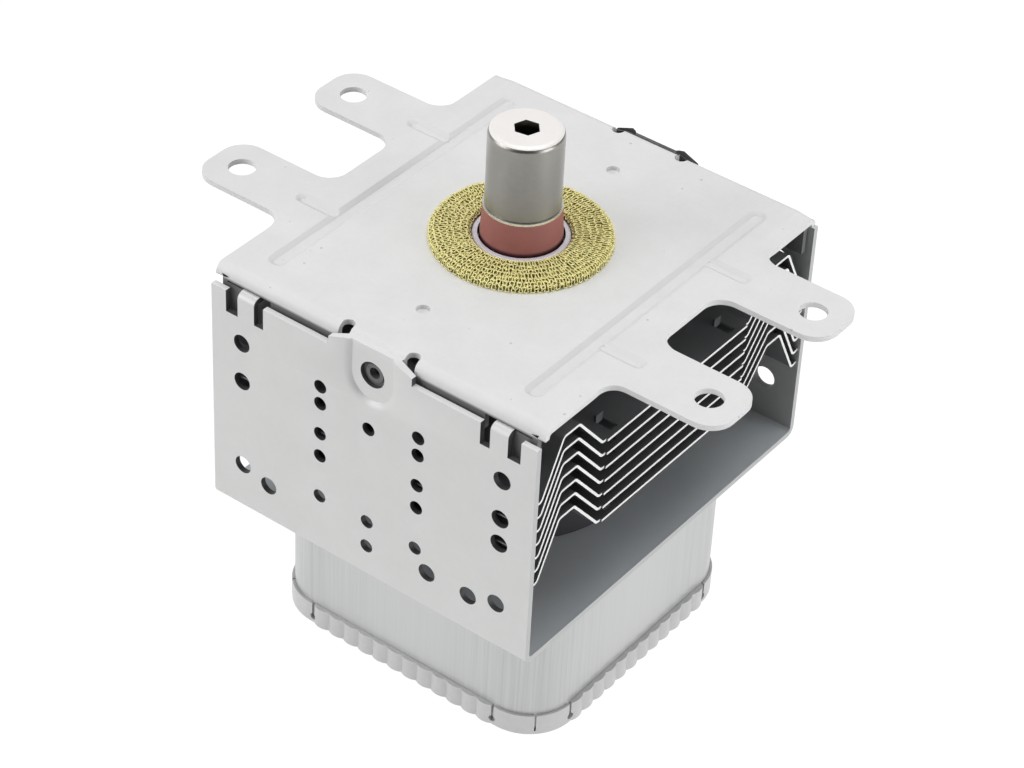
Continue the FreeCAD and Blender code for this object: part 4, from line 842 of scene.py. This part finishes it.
@dataclass
class KnitGasket:
    """The knitted wire ring: a shaded bed and two layers of looped rows round its section."""

    node: str = "rf_gasket"

    # The ring's section.
    inner: float = 9.95 * MM
    outer: float = 18.6 * MM
    top: float = 2.1 * MM
    rounding: float = 1.2 * MM
    inner_round: float = 0.9 * MM

    # The wire, its rows and the length of a loop; how deep the lower layer and the bed lie.
    wire: float = 0.15 * MM
    rows: int = 8
    loop: float = 1.25 * MM
    steps: int = 14
    under: float = 0.34 * MM
    under_shift: float = -0.3
    bed_depth: float = 0.8 * MM
    bed_steps: int = 16
    bed_turns: int = 96

    # A loop's shape, as shares of a row or of a loop's turn, and its dip under the wire it crosses.
    swing: float = 0.66
    wander: float = 0.16
    neck: float = 1.15
    dip: float = 0.26 * MM
    dip_least: float = 0.35
    dip_lag: float = 0.6

    # Least and most of what varies from row to row and from loop to loop.
    loop_spread: tuple[float, float] = (0.92, 1.08)
    swing_spread: tuple[float, float] = (0.6, 1.3)
    sway_spread: tuple[float, float] = (-1.2, 1.2)
    seed: int = 4

    def section(self, run: float, depth: float) -> tuple[float, float]:
        """A point of the ring's section.

        Args:
            run: Way from the inner rim over the top and down the outer side.
            depth: How far under the surface the point lies.

        Returns:
            Its radius and height.
        """
        inward = self.inner_round * math.pi / 2
        if run < inward:
            turn = run / self.inner_round
            return (self.inner + self.inner_round - (self.inner_round - depth) * math.cos(turn),
                    self.top - self.inner_round + (self.inner_round - depth) * math.sin(turn))
        flat = self.outer - self.rounding - self.inner - self.inner_round
        run -= inward
        turn = min(max((run - flat) / self.rounding, 0.0), math.pi / 2)
        low = max(run - flat - self.rounding * math.pi / 2, 0.0)
        centre = self.inner + self.inner_round + min(run, flat)
        return (centre + (self.rounding - depth) * math.sin(turn),
                self.top - self.rounding + (self.rounding - depth) * math.cos(turn) - low)

    def length(self) -> float:
        """Way from the foot of the inner rounding over the top and down to the plate."""
        return (self.outer - self.rounding - self.inner - self.inner_round
                + (self.rounding + self.inner_round) * math.pi / 2 + self.top - self.rounding)

    def bed(self) -> None:
        """Spins the shaded ring under the wires."""
        work = bmesh.new()
        profile = [(self.inner + self.bed_depth, 0.0)] + [
            self.section(self.length() * step / self.bed_steps, self.bed_depth)
            for step in range(self.bed_steps + 1)]
        profile[-1] = (profile[-1][0], 0.0)
        verts = [work.verts.new((x, 0.0, z)) for x, z in profile]
        edges = [work.edges.new((a, b)) for a, b in zip(verts, verts[1:] + verts[:1])]
        bmesh.ops.spin(work, geom=verts + edges, cent=(0, 0, 0), axis=(0, 0, 1), angle=math.tau,
                       steps=self.bed_turns, use_merge=True)
        bmesh.ops.remove_doubles(work, verts=work.verts, dist=CUT)
        bmesh.ops.recalc_face_normals(work, faces=work.faces)
        mesh = bpy.data.meshes.new("gasket_bed")
        work.to_mesh(mesh)
        work.free()
        placed(mesh, "gasket_bed", KNIT_SHADE, self.node)

    def row_points(self, middle: float, width: float, sunk: float, chance: random.Random
                   ) -> list[tuple[float, float, float]]:
        """Points of one closed row of loops, each loop a little off its even place.

        Args:
            middle: Way from the inner rim to the row's middle line.
            width: Breadth of a row.
            sunk: How deep the row lies under the top.
            chance: Source of the unevenness.

        Returns:
            The points.
        """
        around = math.tau * self.section(middle, 0.0)[0]
        loops = int(around / (self.loop * chance.uniform(*self.loop_spread)))
        shift = chance.random() * math.tau
        swings = [chance.uniform(*self.swing_spread) for _ in range(loops)]
        sways = [chance.uniform(*self.sway_spread) for _ in range(loops)]
        dips = [chance.uniform(0.0, 1.0) for _ in range(loops)]
        points = []
        for i in range(loops * self.steps):
            here, part = divmod(i, self.steps)
            part /= self.steps
            following = (here + 1) % loops
            swing, sway, dip = (row[here] + (row[following] - row[here]) * part
                                for row in (swings, sways, dips))
            turn = math.tau * part
            angle = shift + (math.tau * (here + part) + self.neck * math.sin(2.0 * turn) + sway) / loops
            run = middle + width * (self.swing * swing * math.cos(turn) + self.wander * sway)
            run = min(max(run, self.wire), self.length() - self.wire)
            crossing = 0.5 - 0.5 * math.cos(2.0 * turn + self.dip_lag)
            depth = self.wire + sunk + self.dip * (self.dip_least + dip) * crossing
            reach, level = self.section(run, depth)
            points.append((reach * math.cos(angle), reach * math.sin(angle), max(level, self.wire)))
        return points

    def layer(self, name: str, finish: Finish, sunk: float, shift: float, chance: random.Random) -> None:
        """Lays one layer of closed rows of looped wire.

        Args:
            name: The piece's name.
            finish: The wire's finish.
            sunk: How deep the layer lies.
            shift: How far its rows lie off those above, as a share of a row.
            chance: Source of the unevenness.
        """
        curve = bpy.data.curves.new(name, "CURVE")
        curve.dimensions = "3D"
        curve.bevel_depth = self.wire
        curve.bevel_resolution = 0
        width = self.length() / self.rows
        for row in range(self.rows):
            points = self.row_points(width * (row + 0.5 + shift), width, sunk, chance)
            spline = curve.splines.new("POLY")
            spline.points.add(len(points) - 1)
            spline.use_cyclic_u = True
            for point, place in zip(spline.points, points):
                point.co = (*place, 1.0)
        holder = bpy.data.objects.new(name + "_curve", curve)
        bpy.context.scene.collection.objects.link(holder)
        bpy.context.view_layer.update()
        mesh = bpy.data.meshes.new_from_object(holder.evaluated_get(bpy.context.evaluated_depsgraph_get()))
        bpy.data.objects.remove(holder)
        for polygon in mesh.polygons:
            polygon.use_smooth = True
        mesh.name = name
        placed(mesh, name, finish, self.node)

    def build(self) -> None:
        """Makes the bed and the two layers of wire."""
        chance = random.Random(self.seed)
        self.bed()
        self.layer("gasket_wires", KNIT_WIRE, 0.0, 0.0, chance)
        # The lower layer is the same wire with painted shade.
        self.layer("gasket_under_wires", KNIT_UNDER_SHADE, self.under, self.under_shift, chance)


@dataclass
class AntennaStack:
    """Cap, brim, ceramic and sleeve."""

    edge: float = 0.1 * MM
    sharp: float = 40.0
    crown_depth: float = 0.4 * MM
    bore_radius: float = 6.0 * MM

    def in_bore(self, centre: Vector, normal: Vector) -> bool:
        """Whether a face of the sleeve looks inwards, at the ceramic.

        Args:
            centre: The face's centre.
            normal: Its normal.

        Returns:
            Whether it is one.
        """
        return centre.x * normal.x + centre.y * normal.y < -self.bore_radius

    def build(self) -> None:
        """Dresses the stack from the cap down."""
        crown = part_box("antenna_cap")[1][2] - self.crown_depth
        # The cap's top faces get a painted highlight.
        finished_copy("antenna_cap", "cap_shell", CAP_STEEL, self.edge, self.sharp, patches=(
            (CAP_CROWN_HIGHLIGHT, lambda centre, normal: normal.z > 0.5 and centre.z > crown),))
        finished_copy("exhaust_tube", "brim_ring", BRIM_STEEL, 0.0, self.sharp)
        finished_copy("antenna_ceramic", "ceramic_ring", PINK_CERAMIC, self.edge, self.sharp)
        # The sleeve's faces that look at the ceramic get painted shade.
        finished_copy("upper_seal_cup", "collar", COLLAR_METAL, 0.0, self.sharp,
                      patches=((COLLAR_GAP_SHADE, self.in_bore),))
        repaint("antenna_seal_ring", COLLAR_METAL)
        repaint("antenna_lead", COPPER)


@dataclass
class TubeAndMagnets:
    """What stands between the fins and inside the block."""

    copper: tuple[str, ...] = ("anode_block", "upper_strap_ring", "lower_strap_ring")
    iron: tuple[str, ...] = ("upper_pole_piece", "lower_pole_piece")
    dark: tuple[str, ...] = ("cathode_filament", "upper_end_hat", "lower_end_hat", "centre_lead", "side_lead")
    edge: float = 0.15 * MM
    foot_height: float = 1.0 * MM

    def build(self) -> None:
        """Dresses the magnets and the hidden inside."""
        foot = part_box("lower_magnet")[0][2] + self.foot_height
        finished_copy("upper_magnet", "upper_magnet_ring", FERRITE, self.edge)
        finished_copy("lower_magnet", "lower_magnet_ring", FERRITE, self.edge, shape=lowered(foot, False))
        for nodes, finish in ((self.copper, COPPER), (self.iron, SOFT_IRON), (self.dark, DARK_WIRE)):
            for node in nodes:
                repaint(node, finish)


@dataclass
class FinStack:
    """The folded cooling fins, painted dark for the shade between them, with a painted highlight on their
    sheared ends.
    """

    count: int = 7
    end_reach: float = 1.0 * MM

    def build(self) -> None:
        """Dresses each fin."""
        for number in range(1, self.count + 1):
            node = f"cooling_fin_{number}"
            finished_copy(node, f"fin_{number}", FIN_SHADE,
                          patches=((CUT_EDGE_HIGHLIGHT, sheared_end(node, self.end_reach)),))


@dataclass
class FilterBox:
    """The drawn can, its crimped lid and what it holds."""

    edge: float = 0.12 * MM
    sharp: float = 30.0
    head_depth: float = 4.0 * MM
    inside: dict[str, Finish] = field(default_factory=lambda: {
        "lower_seal_cup": COLLAR_METAL, "stem_ceramic": PINK_CERAMIC,
        "filament_terminal_a": COLLAR_METAL, "filament_terminal_b": COLLAR_METAL,
        "ferrite_core_a": FERRITE, "ferrite_core_b": FERRITE,
        "choke_winding_a": COPPER, "choke_winding_b": COPPER})

    def build(self) -> None:
        """Dresses the can, the lid and the inside."""
        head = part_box("filter_box")[1][2] - self.head_depth
        finished_copy("filter_box", "box_shell", BOX_SHEET, self.edge, self.sharp, shape=lowered(head, True))
        finished_copy("filter_box_lid", "lid_shell", LID_SHEET, 0.0, self.sharp)
        for node, finish in self.inside.items():
            repaint(node, finish)


@dataclass
class Connector:
    """The feed-through capacitor on the box's rear wall, with the width of each piece's broken edges."""

    block_edge: float = 0.25 * MM
    flange_edge: float = 0.1 * MM
    blade_edge: float = 0.15 * MM
    rivet_edge: float = 0.3 * MM

    @staticmethod
    def split_faces(work: bmesh.types.BMesh) -> None:
        """Cuts frame-shaped faces into triangles, since broken edges fold over such faces.

        Args:
            work: The moulding's mesh.
        """
        bmesh.ops.triangulate(work, faces=work.faces[:])

    def build(self) -> None:
        """Dresses the moulding, its blades, flange and rivets."""
        finished_copy("connector_block", "socket_moulding", MOULDING, self.block_edge,
                      shape=self.split_faces)
        finished_copy("capacitor_flange", "socket_flange", FLANGE_STEEL, self.flange_edge)
        for side in ("a", "b"):
            finished_copy("connector_blade_" + side, "blade_" + side, BLADE_METAL, self.blade_edge)
            finished_copy("flange_rivet_" + side, "rivet_" + side, FLANGE_STEEL, self.rivet_edge)


@dataclass
class Studio:
    """White floor, soft lamps and a world that is darker on one side."""

    # The floor lies just under the lid, and shows this share of plain white over its shadow.
    floor_level: float = -92.6 * MM
    floor_size: float = 0.6
    floor_colour: tuple[float, float, float, float] = (0.85, 0.85, 0.85, 1.0)
    floor_roughness: float = 0.9
    white_share: float = 0.88
    white_strength: float = 1.1

    # Where along X and towards the camera the world's light changes, each with its strength there.
    sky_left: tuple[float, float] = (-0.2, 0.55)
    sky_right: tuple[float, float] = (0.75, 0.275)
    dark_towards: tuple[float, float] = (0.582, -0.813)
    dark_start: tuple[float, float] = (0.45, 1.0)
    dark_end: tuple[float, float] = (0.9, 0.04)

    aim: tuple[float, float, float] = (0.0, 0.0, -0.03)
    lamps: tuple[tuple[str, tuple[float, float, float], float, float], ...] = (
        ("lamp_overhead", (0.05, 0.1, 1.1), 0.9, 5.9),
        ("lamp_left_front", (-0.75, -0.95, 0.45), 0.8, 6.7),
        ("lamp_right", (0.95, 0.12, 0.14), 0.6, 4.2))

    def seen_white(self, tree: bpy.types.NodeTree, under: bpy.types.NodeSocket) -> bpy.types.NodeSocket:
        """Mixes white towards the camera, mirrors and glass into a shader.

        Args:
            tree: The material's tree.
            under: The shader that lights and shadows act on.

        Returns:
            The mixed shader.
        """
        path = tree.nodes.new("ShaderNodeLightPath").outputs
        seen = maths(tree, "MAXIMUM", path["Is Camera Ray"],
                     maths(tree, "MAXIMUM", path["Is Glossy Ray"], path["Is Transmission Ray"]))
        white = value(tree, "ShaderNodeEmission", Color=(1.0, 1.0, 1.0, 1.0), Strength=self.white_strength)
        mix = tree.nodes.new("ShaderNodeMixShader")
        tree.links.new(maths(tree, "MULTIPLY", seen, self.white_share), mix.inputs[0])
        tree.links.new(under, mix.inputs[1])
        tree.links.new(white.outputs[0], mix.inputs[2])
        return mix.outputs[0]

    def floor(self) -> None:
        """Lays the floor."""
        work = bmesh.new()
        bmesh.ops.create_grid(work, x_segments=1, y_segments=1, size=self.floor_size,
                              matrix=Matrix.Translation((0, 0, self.floor_level)))
        mesh = bpy.data.meshes.new("studio_floor")
        work.to_mesh(mesh)
        work.free()
        plane = bpy.data.objects.new("studio_floor", mesh)
        bpy.context.scene.collection.objects.link(plane)
        material = bpy.data.materials.new("floor_white")
        material.use_nodes = True
        tree = material.node_tree
        shader = tree.nodes["Principled BSDF"]
        shader.inputs["Base Color"].default_value = self.floor_colour
        shader.inputs["Roughness"].default_value = self.floor_roughness
        top = self.seen_white(tree, shader.outputs[0])
        tree.links.new(top, tree.nodes["Material Output"].inputs[0])
        mesh.materials.append(material)

    def world(self) -> None:
        """Sets the surrounding light, white where the camera sees it."""
        world = bpy.data.worlds.new("studio_world")
        bpy.context.scene.world = world
        world.use_nodes = True
        tree = world.node_tree
        tree.nodes.clear()
        where = tree.nodes.new("ShaderNodeTexCoord").outputs["Generated"]
        split = value(tree, "ShaderNodeSeparateXYZ", Vector=where)
        side = ramp(tree, split.outputs[0], self.sky_left, self.sky_right)
        ahead = maths(tree, "ADD", maths(tree, "MULTIPLY", split.outputs[0], self.dark_towards[0]),
                      maths(tree, "MULTIPLY", split.outputs[1], self.dark_towards[1]))
        shade = ramp(tree, ahead, self.dark_start, self.dark_end, smooth=True)
        strength = maths(tree, "MULTIPLY", side, shade)
        light = value(tree, "ShaderNodeBackground", Color=(1.0, 1.0, 1.0, 1.0), Strength=strength)
        white = value(tree, "ShaderNodeBackground", Color=(1.0, 1.0, 1.0, 1.0), Strength=1.0)
        path = tree.nodes.new("ShaderNodeLightPath").outputs
        mix = tree.nodes.new("ShaderNodeMixShader")
        tree.links.new(path["Is Camera Ray"], mix.inputs[0])
        tree.links.new(light.outputs[0], mix.inputs[1])
        tree.links.new(white.outputs[0], mix.inputs[2])
        out = tree.nodes.new("ShaderNodeOutputWorld")
        tree.links.new(mix.outputs[0], out.inputs[0])

    def lamp(self, name: str, place: tuple[float, float, float], size: float, power: float) -> None:
        """Hangs a square lamp that faces the object.

        Args:
            name: The lamp's name.
            place: Where it hangs.
            size: Its side.
            power: Its power in watts.
        """
        data = bpy.data.lights.new(name, "AREA")
        data.size = size
        data.energy = power
        lamp = bpy.data.objects.new(name, data)
        lamp.location = place
        ahead = Vector(self.aim) - Vector(place)
        lamp.rotation_euler = ahead.to_track_quat("-Z", "Y").to_euler()
        bpy.context.scene.collection.objects.link(lamp)

    def build(self) -> None:
        """Builds the whole studio."""
        self.floor()
        self.world()
        for name, place, size, power in self.lamps:
            self.lamp(name, place, size, power)


@dataclass
class PhotoCamera:
    """The camera, placed where the measured view puts it."""

    place: tuple[float, float, float] = (0.3011703, -0.4212186, 0.3725494)
    forward: tuple[float, float, float] = (-0.45655, 0.63784, -0.62026)
    right: tuple[float, float, float] = (0.79280, 0.60805, 0.04173)
    lens: float = 113.56
    sensor: float = 36.0
    nearest: float = 0.01

    def build(self) -> None:
        """Makes the camera and hands it to the scene."""
        data = bpy.data.cameras.new("photo_camera")
        data.sensor_width = self.sensor
        data.lens = self.lens
        data.clip_start = self.nearest
        camera = bpy.data.objects.new("photo_camera", data)
        ahead = Vector(self.forward).normalized()
        side = (Vector(self.right) - ahead * ahead.dot(Vector(self.right))).normalized()
        up = side.cross(ahead)
        turn = Matrix((side, up, -ahead)).transposed()
        camera.matrix_world = Matrix.Translation(self.place) @ turn.to_4x4()
        bpy.context.scene.collection.objects.link(camera)
        bpy.context.scene.camera = camera


def main() -> None:
    """Builds the pieces in order, then the studio and the camera."""
    logging.basicConfig(level=logging.INFO, format="%(name)s: %(message)s")
    bpy.context.scene.view_settings.view_transform = "Standard"
    for part in (PlateSheet(), YokeSheet(), KnitGasket(), AntennaStack(), TubeAndMagnets(), FinStack(),
                 FilterBox(), Connector(), Studio(), PhotoCamera()):
        LOG.info("building %s", type(part).__name__)
        part.build()


if __name__ == "__main__":
    main()
